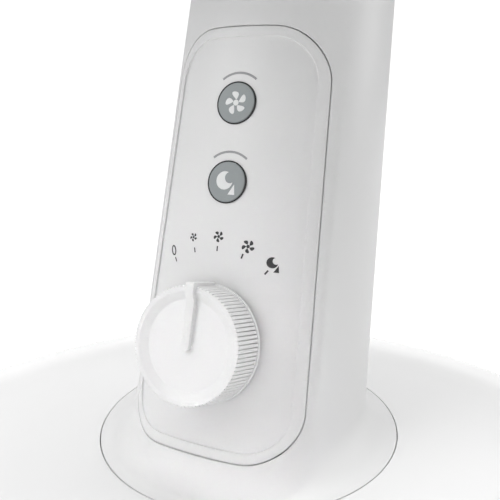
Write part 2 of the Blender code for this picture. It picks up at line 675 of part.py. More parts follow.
def build_panel(panel_frame):
    depth = panel_depth()
    plate = solid("panel_plate", prism(panel_outline(GAP), PAST - depth, FLARE_HEIGHT - PAST),
                  PANEL_WHITE, panel_frame)
    boolean(plate, tool("panel_front", flared_column()), "INTERSECT")
    low = FOOT_Z
    boolean(plate, tool("panel_back", column_loft(PANEL_THICKNESS, low, COLUMN_TOP_Z)))
    recess = tool("panel_recess", prism(panel_outline(PANEL_RIM), -depth, FLARE_HEIGHT), panel_frame)
    boolean(recess, tool("recess_floor", column_loft(PANEL_RECESS, low, COLUMN_TOP_Z)))
    boolean(plate, recess)
    boolean(plate, tool("shaft_hole", rod(SWITCH_SHAFT_RADIUS + 2 * GAP, -depth, PAST), panel_frame))
    for name, up in (("turbo", TURBO_U), ("night", NIGHT_U)):
        hole = rod(BUTTON_RADIUS + GAP, -depth, PAST)
        boolean(plate, tool(f"{name}_hole", hole, panel_frame, (0, up, 0)))
        build_button(name, up, panel_frame)
    build_board(plate, panel_frame)
    build_knob(panel_frame)
    build_switch(panel_frame)


def button_back():
    """Where a button's flange ends behind the panel."""
    behind = PANEL_THICKNESS + panel_sag(BUTTON_FLANGE_RADIUS, PANEL_THICKNESS) + GAP
    return -behind - BUTTON_FLANGE_THICKNESS


def button_stem_end():
    return button_back() - BUTTON_STEM


def board_top():
    return button_stem_end() - BUTTON_TRAVEL - GAP - TACT_PLUNGER - TACT_SWITCH_HEIGHT - GAP


def build_button(name, up, panel_frame):
    face = BUTTON_PROUD - PANEL_RECESS
    back = button_back()
    front = back + BUTTON_FLANGE_THICKNESS
    end = button_stem_end()
    profile = [(0.0, face), (BUTTON_RADIUS - BUTTON_EDGE, face), (BUTTON_RADIUS, face - BUTTON_EDGE),
               (BUTTON_RADIUS, front), (BUTTON_FLANGE_RADIUS, front), (BUTTON_FLANGE_RADIUS, back),
               (BUTTON_STEM_RADIUS, back), (BUTTON_STEM_RADIUS, end), (0.0, end)]
    solid(f"{name}_button", turned(profile, MEDIUM, closed=False), GREY, panel_frame, (0, up, 0))
    half = TACT_SWITCH_SIZE / 2
    base = board_top() + GAP
    top = base + TACT_SWITCH_HEIGHT
    case = block((-half, -half, base), (half, half, top), TACT_SWITCH_EDGE)
    switch = solid(f"{name}_switch", case, DARK, panel_frame, (0, up, 0))
    plunger = rod(TACT_PLUNGER_RADIUS, top - PAST, top + TACT_PLUNGER, TINY)
    boolean(switch, tool(f"{name}_plunger", plunger, panel_frame, (0, up, 0)), "UNION")


def build_board(plate, panel_frame):
    top = board_top()
    low_u = NIGHT_U - BOARD_MARGIN
    high_u = TURBO_U + BOARD_MARGIN
    board = block((-BOARD_HALF_WIDTH, low_u, top - BOARD_THICKNESS), (BOARD_HALF_WIDTH, high_u, top))
    solid("control_board", board, BOARD_GREEN, panel_frame)
    post_x = BOARD_HALF_WIDTH - 2 * POST_RADIUS
    post_top = PANEL_THICKNESS / 2 - PANEL_THICKNESS - panel_sag(post_x)
    for side, x in (("left", -post_x), ("right", post_x)):
        for end, up in (("low", low_u + 2 * POST_RADIUS), ("high", high_u - 2 * POST_RADIUS)):
            post = rod(POST_RADIUS, top + GAP, post_top, TINY)
            boolean(plate, tool(f"board_post_{end}_{side}", post, panel_frame, (x, up, 0)), "UNION")


def build_switch(panel_frame):
    half = SWITCH_SIZE / 2
    front = -PANEL_THICKNESS - panel_sag(half, PANEL_THICKNESS) - GAP
    case = block((-half, -half, front - SWITCH_DEPTH), (half, half, front), SWITCH_EDGE)
    switch = solid("rotary_switch", case, DARK, panel_frame)
    bore_radius = SWITCH_SHAFT_RADIUS + GAP
    collar_radius = bore_radius + SWITCH_COLLAR_WALL
    collar_top = -PANEL_THICKNESS - panel_sag(collar_radius, PANEL_THICKNESS) - GAP
    collar = rod(collar_radius, front - PAST, collar_top, SMALL)
    boolean(switch, tool("switch_collar", collar, panel_frame), "UNION")
    shaft_end = front - SWITCH_DEPTH + SWITCH_FLOOR
    boolean(switch, tool("switch_bore", rod(bore_radius, shaft_end, PAST, SMALL), panel_frame))
    shaft = rod(SWITCH_SHAFT_RADIUS, shaft_end + GAP, KNOB_CAVITY_TOP - GAP, SMALL)
    solid("switch_shaft", shaft, STEEL, panel_frame)


def stitch(shape, lower, upper):
    """Join two rings of vertices whose counts may differ."""
    if len(lower) < len(upper):
        lower, upper = upper, lower
    many, few = len(lower), len(upper)
    for i in range(many):
        a = (i * few + many // 2) // many
        b = ((i + 1) * few + many // 2) // many
        shape.faces.new((lower[i], lower[(i + 1) % many], upper[a % few]))
        if few > 1 and a != b:
            shape.faces.new((lower[(i + 1) % many], upper[b % few], upper[a % few]))


def build_knob(panel_frame):
    shape = bmesh.new()
    back = KNOB_STANDOFF
    flange_top = back + KNOB_FLANGE_THICKNESS
    bore = SWITCH_SHAFT_RADIUS + GAP
    boss = bore + KNOB_BOSS_WALL
    inner = KNOB_BACK_RADIUS - KNOB_WALL
    dish = KNOB_HEIGHT - KNOB_DISH_DEPTH
    shoulder = KNOB_HEIGHT - KNOB_EDGE

    def ring(radius, height):
        return [shape.verts.new(point) for point in circle(radius, height, KNOB_SMOOTH_SIDES)]

    def grooved(radius, height):
        points = []
        for i in range(2 * KNOB_GROOVES):
            angle = math.pi * i / KNOB_GROOVES
            reach = radius - KNOB_GROOVE_DEPTH * (i % 2)
            points.append(shape.verts.new((reach * math.cos(angle), reach * math.sin(angle), height)))
        return points

    rows = [[shape.verts.new((0.0, 0.0, KNOB_CAVITY_TOP))], ring(bore, KNOB_CAVITY_TOP), ring(bore, back),
            ring(boss, back), ring(boss, KNOB_CAVITY_TOP), ring(inner, KNOB_CAVITY_TOP),
            ring(inner, back), ring(KNOB_FLANGE_RADIUS, back), ring(KNOB_FLANGE_RADIUS, flange_top),
            grooved(KNOB_BACK_RADIUS, flange_top + KNOB_EDGE), grooved(KNOB_RADIUS, shoulder),
            ring(KNOB_RADIUS - KNOB_EDGE, KNOB_HEIGHT), ring(KNOB_DISH_OUTER, KNOB_HEIGHT),
            ring(KNOB_DISH_INNER, dish), [shape.verts.new((0.0, 0.0, dish))]]
    for lower, upper in zip(rows, rows[1:]):
        stitch(shape, lower, upper)
    knob = solid("knob", shape, WHITE, panel_frame)
    half = POINTER_WIDTH / 2
    top = KNOB_HEIGHT + POINTER_RIM_HEIGHT
    back_end = flange_top + 2 * KNOB_EDGE
    side = [(0.0, dish - PAST), (0.0, dish + POINTER_HEIGHT), (KNOB_DISH_INNER, dish + POINTER_HEIGHT),
            (KNOB_DISH_OUTER, top), (KNOB_RADIUS + POINTER_RIM_HEIGHT, top),
            (KNOB_BACK_RADIUS + POINTER_RIM_HEIGHT, back_end), (inner + PAST, back_end),
            (inner + PAST, dish - PAST)]
    pointer = loft([[(x, y, z) for y, z in side] for x in (-half, half)])
    boolean(knob, tool("knob_pointer", pointer, panel_frame), "UNION")


# Tilt joint, neck and swing pin, in a frame at the tilt axis

def build_tilt_joint(tilt_frame):
    ear_inner = KNUCKLE_WIDTH / 2 + GAP
    ear_outer = ear_inner + EAR_THICKNESS
    cap_low = COLUMN_TOP_Z + GAP
    cap_high = cap_low + BRACKET_FLANGE
    bracket = solid("tilt_bracket", column_loft(0.0, cap_low, cap_high), WHITE)
    plug = tool("bracket_plug", column_loft(COLUMN_WALL + GAP, COLUMN_TOP_Z - BRACKET_PLUG, cap_high - PAST))
    boolean(bracket, plug, "UNION")
    for side, name in ((-1, "left"), (1, "right")):
        low_x, high_x = sorted((side * ear_inner, side * ear_outer))
        outline = [(-KNUCKLE_RADIUS, cap_high - TILT_Z - PAST)]
        for i in range(EAR_STEPS + 1):
            angle = math.pi * i / EAR_STEPS
            outline.append((-KNUCKLE_RADIUS * math.cos(angle), KNUCKLE_RADIUS * math.sin(angle)))
        outline += [(KNUCKLE_RADIUS, cap_high - TILT_Z - PAST)]
        ear = loft([[(x, y, z) for y, z in outline] for x in (low_x, high_x)])
        boolean(bracket, tool(f"ear_{name}", ear, tilt_frame), "UNION")
    hole = along_x(rod(TILT_BOLT_RADIUS + GAP, -ear_outer - PAST, ear_outer + PAST))
    boolean(bracket, tool("bracket_bolt_hole", hole, tilt_frame))

    head_face = -ear_outer - GAP
    nut_face = ear_outer + GAP
    head_radius = TILT_BOLT_RADIUS + TILT_BOLT_HEAD_RIM
    head_end = head_face - TILT_BOLT_HEAD
    shank_end = nut_face + TILT_NUT_LENGTH / 2
    bolt = [(0.0, head_end), (head_radius - TILT_BOLT_EDGE, head_end),
            (head_radius, head_end + TILT_BOLT_EDGE),
            (head_radius, head_face), (TILT_BOLT_RADIUS, head_face), (TILT_BOLT_RADIUS, shank_end),
            (0.0, shank_end)]
    solid("tilt_bolt", along_x(turned(bolt, MEDIUM, closed=False)), STEEL, tilt_frame)
    nut_end = nut_face + TILT_NUT_LENGTH
    edge = TILT_NUT_EDGE
    rings = [lobed_ring(nut_face, edge), lobed_ring(nut_face + edge, 0.0), lobed_ring(nut_end - edge, 0.0),
             lobed_ring(nut_end, edge)]
    nut = solid("tilt_nut", along_x(loft(rings)), DARK, tilt_frame)
    thread = along_x(rod(TILT_BOLT_RADIUS + GAP, nut_face - PAST, shank_end + GAP))
    boolean(nut, tool("nut_thread", thread, tilt_frame))


def lobed_ring(height, inset):
    """One ring of the hand nut, which has rounded lobes to grip."""
    count = 4 * TILT_NUT_LOBES
    ring = []
    for i in range(count):
        angle = 2 * math.pi * i / count
        radius = TILT_NUT_RADIUS - inset + TILT_NUT_LOBE_DEPTH * math.cos(TILT_NUT_LOBES * angle)
        ring.append((radius * math.cos(angle), radius * math.sin(angle), height))
    return ring


def build_neck(tilt_frame):
    neck_profile = [(0.0, 0.0), (NECK_STEM_RADIUS, 0.0), (NECK_STEM_RADIUS, NECK_FLANGE_LOW - PAST),
                    (NECK_FLANGE_RADIUS - PAST, NECK_FLANGE_LOW),
                    (NECK_FLANGE_RADIUS, NECK_FLANGE_LOW + PAST),
                    (NECK_FLANGE_RADIUS - PAST, NECK_FLANGE_HIGH), (NECK_TUBE_RADIUS, NECK_FLANGE_HIGH),
                    (NECK_TUBE_RADIUS, ARM_TOP), (0.0, ARM_TOP)]
    neck = solid("neck", turned(neck_profile, MEDIUM, closed=False), WHITE, tilt_frame)
    knuckle = along_x(rod(KNUCKLE_RADIUS, -KNUCKLE_WIDTH / 2, KNUCKLE_WIDTH / 2))
    boolean(neck, tool("neck_knuckle", knuckle, tilt_frame), "UNION")
    arm = stadium(0.0, ARM_REACH, ARM_END_RADIUS)
    boolean(neck, tool("neck_arm", prism(arm, ARM_TOP - ARM_THICKNESS, ARM_TOP), tilt_frame), "UNION")
    bush_low = TILT_BOLT_RADIUS + 2 * PAST
    boolean(neck, tool("neck_bore", rod(NECK_BORE, bush_low, ARM_TOP + PAST), tilt_frame))
    hole = along_x(rod(TILT_BOLT_RADIUS + GAP, -KNUCKLE_WIDTH, KNUCKLE_WIDTH))
    boolean(neck, tool("knuckle_bolt_hole", hole, tilt_frame))
    bush = tube(NECK_BORE - GAP, BUSH_BORE, bush_low + GAP, ARM_TOP)
    solid("neck_bush", bush, NYLON, tilt_frame)


def stadium(start_x, end_x, radius, steps=6):
    """Outline of a bar with round ends, along X."""
    points = []
    for centre, first in ((end_x, -90), (start_x, 90)):
        for i in range(steps + 1):
            angle = math.radians(first + 180 * i / steps)
            points.append((centre + radius * math.cos(angle), radius * math.sin(angle)))
    return points


def build_saddle(swing_frame):
    low = SADDLE_TOP - SADDLE_THICKNESS
    back = SWING_PIN_RADIUS + 3 * PAST
    plate = block((-SADDLE_HALF_WIDTH, -STATOR_FRONT - BELL_DEPTH, low),
                  (SADDLE_HALF_WIDTH, back, SADDLE_TOP))
    saddle = solid("swing_bracket", plate, ALLOY, swing_frame)
    pin_end = TILT_BOLT_RADIUS + 4 * PAST
    boolean(saddle, tool("swing_pin", rod(SWING_PIN_RADIUS, pin_end, low + PAST), swing_frame), "UNION")


# Motor, in a frame whose Z is the fan's axis, forward, and whose Y is up

def build_motor(axis_frame):
    core = tube(STATOR_RADIUS, STATOR_BORE, STATOR_BACK, STATOR_FRONT)
    solid("stator_core", core, STEEL, axis_frame)
    inner = ROTOR_RADIUS + RUNNING_GAP
    sleeve = STATOR_BORE - GAP
    back, front = STATOR_BACK - GAP, STATOR_FRONT + GAP
    end = WINDING_RADIUS - WINDING_ROUND
    root = WINDING_RADIUS - WINDING_ROUND / 2
    winding = [(inner, back - WINDING_OVERHANG), (end, back - WINDING_OVERHANG),
               (WINDING_RADIUS, back - WINDING_OVERHANG / 2), (root, back), (sleeve, back),
               (sleeve, front), (root, front), (WINDING_RADIUS, front + WINDING_OVERHANG / 2),
               (end, front + WINDING_OVERHANG), (inner, front + WINDING_OVERHANG)]
    solid("stator_winding", turned(winding, MEDIUM), COPPER, axis_frame)
    for name, outside, core_face in (("rear", MOTOR_BACK, STATOR_BACK - GAP),
                                     ("front", STATOR_FRONT + GAP + BELL_DEPTH, STATOR_FRONT + GAP)):
        inward = 1 if core_face > outside else -1
        wall = outside + inward * BELL_WALL
        boss_end = outside + inward * BEARING_BOSS_LENGTH
        boss = BEARING_RADIUS + GAP
        bell = [(boss, outside), (STATOR_RADIUS - BELL_EDGE, outside), (STATOR_RADIUS, wall),
                (STATOR_RADIUS, core_face), (STATOR_RADIUS - BELL_WALL, core_face),
                (STATOR_RADIUS - BELL_WALL, wall), (boss + BELL_WALL, wall), (boss + BELL_WALL, boss_end),
                (boss, boss_end)]
        solid(f"{name}_end_bell", turned(bell, MEDIUM), ALLOY, axis_frame)
        bearing_low, bearing_high = sorted((outside, outside + inward * BEARING_LENGTH))
        bearing = tube(BEARING_RADIUS, SHAFT_RADIUS + RUNNING_GAP, bearing_low, bearing_high)
        solid(f"{name}_bearing", bearing, BRONZE, axis_frame)
    rotor = tube(ROTOR_RADIUS, SHAFT_RADIUS + GAP, STATOR_BACK, STATOR_FRONT)
    solid("rotor_core", rotor, STEEL, axis_frame)
    nose = BLADE_CENTRE + HUB_DEPTH / 2 + BLADE_NUT_LENGTH / 2
    tail = -CASE_FRONT - CASE_WALL - WORM_LENGTH
    shaft = [(0.0, tail), (WORM_RADIUS, tail), (WORM_RADIUS, -CASE_FRONT), (SHAFT_RADIUS, -CASE_FRONT),
             (SHAFT_RADIUS, nose), (0.0, nose)]
    solid("motor_shaft", turned(shaft, SMALL, closed=False), STEEL, axis_frame)


def build_covers(axis_frame, swing_frame):
    front = PLATE_BACK - GAP
    outer = [(COVER_RADIUS, front)]
    inner = [(COVER_INNER_RADIUS, front)]
    for i in range(COVER_DOME_STEPS + 1):
        turn = math.pi / 2 * i / COVER_DOME_STEPS
        drop = COVER_DOME_START - COVER_DOME_LENGTH * math.sin(turn)
        outer.append((COVER_RADIUS * math.cos(turn), drop))
        inner.append((COVER_INNER_RADIUS * math.cos(turn), drop + COVER_WALL * math.sin(turn)))
    outer[-1] = (0.0, outer[-1][1])
    inner[-1] = (0.0, inner[-1][1])
    cover = solid("motor_cover", turned(outer[::-1] + inner, LARGE, closed=False), WHITE, axis_frame)
    neck_room = NECK_TUBE_RADIUS + COVER_NECK_ROOM
    neck_hole = rod(neck_room, MOTOR_HEIGHT - COVER_RADIUS - PAST, MOTOR_HEIGHT - COVER_RADIUS / 2)
    boolean(cover, tool("cover_neck_hole", neck_hole, swing_frame))
    clutch_hole = rod(CLUTCH_ROD_RADIUS + GAP, 0.0, COVER_RADIUS + PAST, SMALL)
    boolean(cover, tool("cover_clutch_hole", clutch_hole, swing_frame, (WHEEL_X, WHEEL_AXIS_Y, MOTOR_HEIGHT)))
    screw_hole = rod(SCREW_HOLE_RADIUS, COVER_DOME_END - PAST, COVER_DOME_END + COVER_WALL + PAST, TINY)
    boolean(cover, tool("cover_screw_hole", screw_hole, axis_frame))
    screw("cover_screw", COVER_BACK_ROOM + PAST, axis_frame, (0, 0, COVER_DOME_END - GAP))

    bore = SHAFT_RADIUS + PAST
    boss_end = PLATE_FRONT + FRONT_BOSS_LENGTH
    plate = [(bore, PLATE_BACK), (COVER_RADIUS, PLATE_BACK), (COVER_RADIUS, PLATE_FRONT - PAST),
             (COVER_RADIUS - PAST, PLATE_FRONT), (FRONT_BOSS_RADIUS, PLATE_FRONT),
             (FRONT_BOSS_RADIUS, boss_end), (bore, boss_end)]
    solid("motor_front_plate", turned(plate, LARGE), WHITE, axis_frame)
    nut_bore = FRONT_BOSS_RADIUS + GAP
    nut = tube(nut_bore + GRILLE_NUT_RIM, nut_bore, NUT_BACK, NUT_BACK + GRILLE_NUT_LENGTH)
    solid("grille_nut", nut, DARK, axis_frame)


# Swing drive, in the swing frame: a worm on the shaft, a wheel, a pinion, a gear and a crank

def gear_outline(teeth, root, tip, phase=0.0):
    points = []
    pitch = 2 * math.pi / teeth
    corners = [(-TOOTH_ROOT_SHARE, root), (-TOOTH_TIP_SHARE, tip), (TOOTH_TIP_SHARE, tip),
               (TOOTH_ROOT_SHARE, root)]
    for i in range(teeth):
        for share, radius in corners:
            angle = phase + (i + share) * pitch
            points.append((radius * math.cos(angle), radius * math.sin(angle)))
    return points


def spur_gear(teeth, phase, low, high):
    root = GEAR_MODULE * (teeth / 2 - GEAR_ROOT_MODULES)
    tip = GEAR_MODULE * (teeth / 2 + GEAR_TIP_MODULES)
    return prism(gear_outline(teeth, root, tip, phase), low, high)


def build_drive(swing_frame):
    wheel_low = MOTOR_HEIGHT - WHEEL_THICKNESS / 2
    wheel_high = wheel_low + WHEEL_THICKNESS
    wheel_at = (WHEEL_X, WHEEL_AXIS_Y, 0)
    teeth = gear_outline(WHEEL_TEETH, WHEEL_TIP_RADIUS - WHEEL_TOOTH, WHEEL_TIP_RADIUS)
    wheel = solid("worm_wheel", prism(teeth, wheel_low, wheel_high), NYLON, swing_frame, wheel_at)
    bore = rod(CLUTCH_ROD_RADIUS + RUNNING_GAP, wheel_low - PAST, wheel_high + PAST, SMALL)
    boolean(wheel, tool("wheel_bore", bore, swing_frame, wheel_at))

    case_floor = MOTOR_HEIGHT + CASE_BOTTOM
    gear_high = MOTOR_HEIGHT - GEAR_DROP + GEAR_THICKNESS / 2
    gear_low = gear_high - GEAR_THICKNESS
    line = math.atan2(WHEEL_AXIS_Y - CRANK_Y, WHEEL_X)
    pinion_phase = line + math.pi + math.pi / PINION_TEETH
    pinion = solid("clutch_pinion", spur_gear(PINION_TEETH, pinion_phase, gear_low, gear_high), NYLON,
                   swing_frame, wheel_at)
    hub = rod(CRANK_SHAFT_RADIUS, case_floor + CASE_WALL + GAP, wheel_low - GAP, SMALL)
    boolean(pinion, tool("pinion_hub", hub, swing_frame, wheel_at), "UNION")

    crank_at = (0, CRANK_Y, 0)
    gear = solid("crank_gear", spur_gear(GEAR_TEETH, line, gear_low, gear_high), NYLON, swing_frame, crank_at)
    disc_low = LINK_TOP + RUNNING_GAP
    disc_high = disc_low + CRANK_DISC_THICKNESS
    shaft = rod(CRANK_SHAFT_RADIUS, disc_high + GAP, gear_high + PAST, SMALL)
    boolean(gear, tool("crank_shaft", shaft, swing_frame, crank_at), "UNION")
    disc = solid("crank_disc", rod(CRANK_DISC_RADIUS, disc_low, disc_high), STEEL, swing_frame, crank_at)
    pin_at = (CRANK_THROW, CRANK_Y, 0)
    pin = rod(CRANK_PIN_RADIUS, LINK_TOP - LINK_THICKNESS, disc_low + PAST, SMALL)
    boolean(disc, tool("crank_pin", pin, swing_frame, pin_at), "UNION")

    reach = math.hypot(ARM_REACH - CRANK_THROW, CRANK_Y)
    eye_radius = CRANK_PIN_RADIUS + RUNNING_GAP
    link = prism(stadium(0.0, reach, eye_radius + LINK_EYE_WALL), LINK_TOP - LINK_THICKNESS, LINK_TOP)
    swing = math.atan2(-CRANK_Y, ARM_REACH - CRANK_THROW)
    link.transform(Matrix.Rotation(swing, 4, "Z"))
    link = solid("swing_link", link, STEEL, swing_frame, pin_at)
    eye = rod(eye_radius, LINK_TOP - LINK_THICKNESS - PAST, LINK_TOP + PAST, SMALL)
    boolean(link, tool("link_eye", eye, swing_frame, pin_at))

    build_case(swing_frame, case_floor, wheel_at, crank_at)
    rod_low = wheel_low + GAP
    knob_low = MOTOR_HEIGHT + math.sqrt(COVER_RADIUS ** 2 - WHEEL_X ** 2) + 2 * PAST
    knob_high = knob_low + CLUTCH_KNOB_HEIGHT
    edge = CLUTCH_KNOB_EDGE
    middle = (CLUTCH_KNOB_NECK + CLUTCH_KNOB_RADIUS) / 2
    clutch = [(0.0, rod_low), (CLUTCH_ROD_RADIUS, rod_low), (CLUTCH_ROD_RADIUS, knob_low),
              (CLUTCH_KNOB_NECK, knob_low), (middle, (knob_low + knob_high) / 2),
              (CLUTCH_KNOB_RADIUS, knob_high - edge), (CLUTCH_KNOB_RADIUS - edge, knob_high),
              (0.0, knob_high)]
    solid("clutch_knob", turned(clutch, MEDIUM, closed=False), WHITE, swing_frame, wheel_at)


def build_case(swing_frame, case_floor, wheel_at, crank_at):
    room = RUNNING_GAP + CASE_WALL
    low = (-GEAR_TIP - room, CASE_FRONT, case_floor)
    high = (WHEEL_X + WHEEL_TIP_RADIUS + room, CASE_BACK, MOTOR_HEIGHT + CASE_TOP)
    case = solid("gearbox_case", block(low, high), ALLOY, swing_frame)
    hollow_low = tuple(value + CASE_WALL for value in low)
    hollow_high = (high[0] - CASE_WALL, high[1] - CASE_WALL, high[2] + PAST)
    boolean(case, tool("case_hollow", block(hollow_low, hollow_high), swing_frame))
    boss = rod(BOSS_RADIUS, -CASE_BACK - BOSS_RADIUS, -CASE_BACK + PAST, SMALL)
    boss.transform(Matrix.Rotation(math.pi / 2, 4, "X"))
    boolean(case, tool("case_boss", boss, swing_frame, (0, 0, MOTOR_HEIGHT)), "UNION")
    hole_low = -CASE_FRONT - CASE_WALL - PAST
    shaft_hole = rod(WORM_RADIUS + RUNNING_GAP, hole_low, PAST - CASE_FRONT, SMALL)
    shaft_hole.transform(Matrix.Rotation(math.pi / 2, 4, "X"))
    boolean(case, tool("case_shaft_hole", shaft_hole, swing_frame, (0, 0, MOTOR_HEIGHT)))
    screw_hole = rod(SCREW_HOLE_RADIUS, -CASE_BACK - BOSS_RADIUS - PAST, -CASE_BACK + CASE_WALL / 2, TINY)
    screw_hole.transform(Matrix.Rotation(math.pi / 2, 4, "X"))
    boolean(case, tool("case_screw_hole", screw_hole, swing_frame, (0, 0, MOTOR_HEIGHT)))
    crank_room = CRANK_SHAFT_RADIUS + RUNNING_GAP
    crank_hole = rod(crank_room, case_floor - PAST, case_floor + CASE_WALL + PAST, SMALL)
    boolean(case, tool("case_crank_hole", crank_hole, swing_frame, crank_at))
    lid = block((low[0], low[1], high[2] + GAP), (high[0], high[1], high[2] + GAP + CASE_WALL))
    lid = solid("gearbox_lid", lid, ALLOY, swing_frame)
    rod_hole = rod(CLUTCH_ROD_RADIUS + GAP, high[2] - PAST, high[2] + CASE_WALL + 2 * PAST, SMALL)
    boolean(lid, tool("lid_rod_hole", rod_hole, swing_frame, wheel_at))


# Cage

def grille(name, radii, heights, ring_rows, sweep, axis_frame):
    """Radial ribs and rings as one moulded sheet, thickened by a modifier."""
    shape = bmesh.new()
    rows = []
    for radius, height in zip(radii, heights):
        lean = sweep * (radius - radii[0]) / (radii[-1] - radii[0])
        half = CAGE_RIB_WIDTH / (2 * radius)
        row = []
        for i in range(CAGE_RIBS):
            centre = 2 * math.pi * i / CAGE_RIBS + lean
            for angle in (centre - half, centre + half):
                row.append(shape.verts.new((radius * math.cos(angle), radius * math.sin(angle), height)))
        rows.append(row)
    count = 2 * CAGE_RIBS
    for k, (lower, upper) in enumerate(zip(rows, rows[1:])):
        for i in range(count):
            if k in ring_rows or i % 2 == 0:
                j = (i + 1) % count
                shape.faces.new((lower[i], lower[j], upper[j], upper[i]))
    made = solid(name, shape, WHITE, axis_frame)
    thick = made.modifiers.new("thickness", "SOLIDIFY")
    thick.thickness = CAGE_THICKNESS
    thick.offset = 0.0
    thick.use_even_offset = True
    return made


def cage_height(radius, flat_radius, middle, rim, power):
    """Height of a grille: flat in the middle, then curving to its rim."""
    if radius <= flat_radius:
        return middle
    reach = min(radius / (CAGE_RADIUS - CAGE_RIM_WIDTH), 1.0)
    return middle + (rim - middle) * reach ** power


def build_cage(axis_frame):
    outward = [CAGE_MIDDLE_RING, CAGE_MIDDLE_RING + CAGE_RING_WIDTH, BLADE_RADIUS,
               CAGE_RADIUS - CAGE_RIM_WIDTH, CAGE_RADIUS]
    ring_rows = (0, 2, 5)
    radii = [FRONT_BOSS_RADIUS + GAP, CAGE_MOUNT_RADIUS] + outward
    rim = CAGE_RIM - RIM_OFFSET
    heights = [cage_height(r, CAGE_MOUNT_RADIUS, CAGE_BACK, rim, CAGE_REAR_POWER) for r in radii]
    grille("rear_grille", radii, heights, ring_rows, 0.0, axis_frame)

    radii = [FRONT_HUB_RADIUS - 2 * CAGE_RING_WIDTH, FRONT_HUB_RADIUS] + outward
    rim = CAGE_RIM + RIM_OFFSET
    top = rim + CAGE_FRONT_DEPTH
    heights = [cage_height(r, FRONT_HUB_RADIUS, top, rim, CAGE_FRONT_POWER) for r in radii]
    grille("front_grille", radii, heights, ring_rows, FRONT_SWEEP, axis_frame)

    cap_back = top + CAGE_THICKNESS / 2 + GAP
    cap = [(0.0, cap_back), (FRONT_HUB_RADIUS - PAST, cap_back), (FRONT_HUB_RADIUS, cap_back + PAST),
           (FRONT_HUB_RADIUS - CAP_EDGE, cap_back + CAP_THICKNESS - PAST), (0.0, cap_back + CAP_THICKNESS)]
    solid("front_cap", turned(cap, LARGE, closed=False), WHITE, axis_frame)
    build_rim_ring(axis_frame)


def build_rim_ring(axis_frame):
    inner = (CAGE_RADIUS + GAP) / math.cos(math.pi / RIM_RING_SIDES)
    outer = inner + RIM_RING_WALL
    lip_face = RIM_OFFSET + CAGE_THICKNESS / 2 + GAP
    end = lip_face + RIM_RING_WALL
    lip = inner - RIM_RING_LIP
    profile = [(outer, -end), (outer, end), (lip, end), (lip, lip_face), (inner, lip_face),
               (inner, -lip_face), (lip, -lip_face), (lip, -end)]
    hoop = turned([(r, CAGE_RIM + h) for r, h in profile], RIM_RING_SIDES)
    ring = solid("rim_ring", hoop, WHITE, axis_frame)
    pin_down = -outer - LATCH_PIN_RADIUS - LATCH_THICKNESS / 2
    pin_front = CAGE_RIM + end + LATCH_EAR
    inside = LATCH_WIDTH / 2 + GAP
    for side, name in ((-1, "left"), (1, "right")):
        low_x, high_x = sorted((side * inside, side * (inside + LATCH_EAR)))
        ear = block((low_x, pin_down - LATCH_EAR, CAGE_RIM), (high_x, -inner - PAST, pin_front + LATCH_EAR))
        boolean(ring, tool(f"latch_ear_{name}", ear, axis_frame), "UNION")
    span = inside + LATCH_EAR
    hole = along_x(rod(LATCH_PIN_RADIUS + GAP, -span - PAST, span + PAST, SMALL))
    hole_at = (0, pin_down, pin_front)
    boolean(ring, tool("latch_pin_hole", hole, axis_frame, hole_at))

    half = LATCH_THICKNESS / 2
    clear = pin_front - CAGE_RIM + end + GAP
    hook = LATCH_PIN_RADIUS + half + RIM_RING_WALL / 2
    outline = [(half + GAP, half), (half + GAP, -half), (-clear - LATCH_THICKNESS, -half),
               (-clear - LATCH_THICKNESS, hook), (-clear, hook), (-clear, half)]
    plate = loft([[(x, up, forward) for forward, up in outline] for x in (-LATCH_WIDTH / 2, LATCH_WIDTH / 2)])
    latch = solid("rim_latch", plate, WHITE, axis_frame, hole_at)
    pin = along_x(rod(LATCH_PIN_RADIUS, -span, span, SMALL))
    boolean(latch, tool("latch_pin", pin, axis_frame, hole_at), "UNION")


# Blades

def blade_mesh():
    """One swept, twisted blade, with its root inside the hub."""
    root = HUB_RADIUS - HUB_EDGE
    shape = bmesh.new()
    rows = []
    for k in range(BLADE_STATIONS):
        t = k / (BLADE_STATIONS - 1)
        radius = root + (BLADE_RADIUS - root) * t
        pitch = BLADE_ROOT_PITCH + (BLADE_TIP_PITCH - BLADE_ROOT_PITCH) * t
        slope = math.tan(pitch) * (1 - BLADE_FLATTENING * t)
        width = BLADE_ROOT_ANGLE + (BLADE_TIP_ANGLE - BLADE_ROOT_ANGLE) * t
        width += BLADE_BELLY * math.sin(math.pi * t)
        sweep = BLADE_SWEEP * t ** BLADE_SWEEP_POWER
        row = []
        for i in range(BLADE_CHORD_POINTS):
            s = i / (BLADE_CHORD_POINTS - 1) - 0.5
            angle = sweep + s * width
            reach = radius * (1 - BLADE_CORNER * (2 * abs(s)) ** 3 * t)
            height = BLADE_CENTRE + s * width * radius * slope + BLADE_CAMBER * (1 - (2 * s) ** 2) * t
            row.append(shape.verts.new((reach * math.cos(angle), reach * math.sin(angle), height)))
        rows.append(row)
    for lower, upper in zip(rows, rows[1:]):
        for i in range(BLADE_CHORD_POINTS - 1):
            shape.faces.new((lower[i], lower[i + 1], upper[i + 1], upper[i]))
    return shape


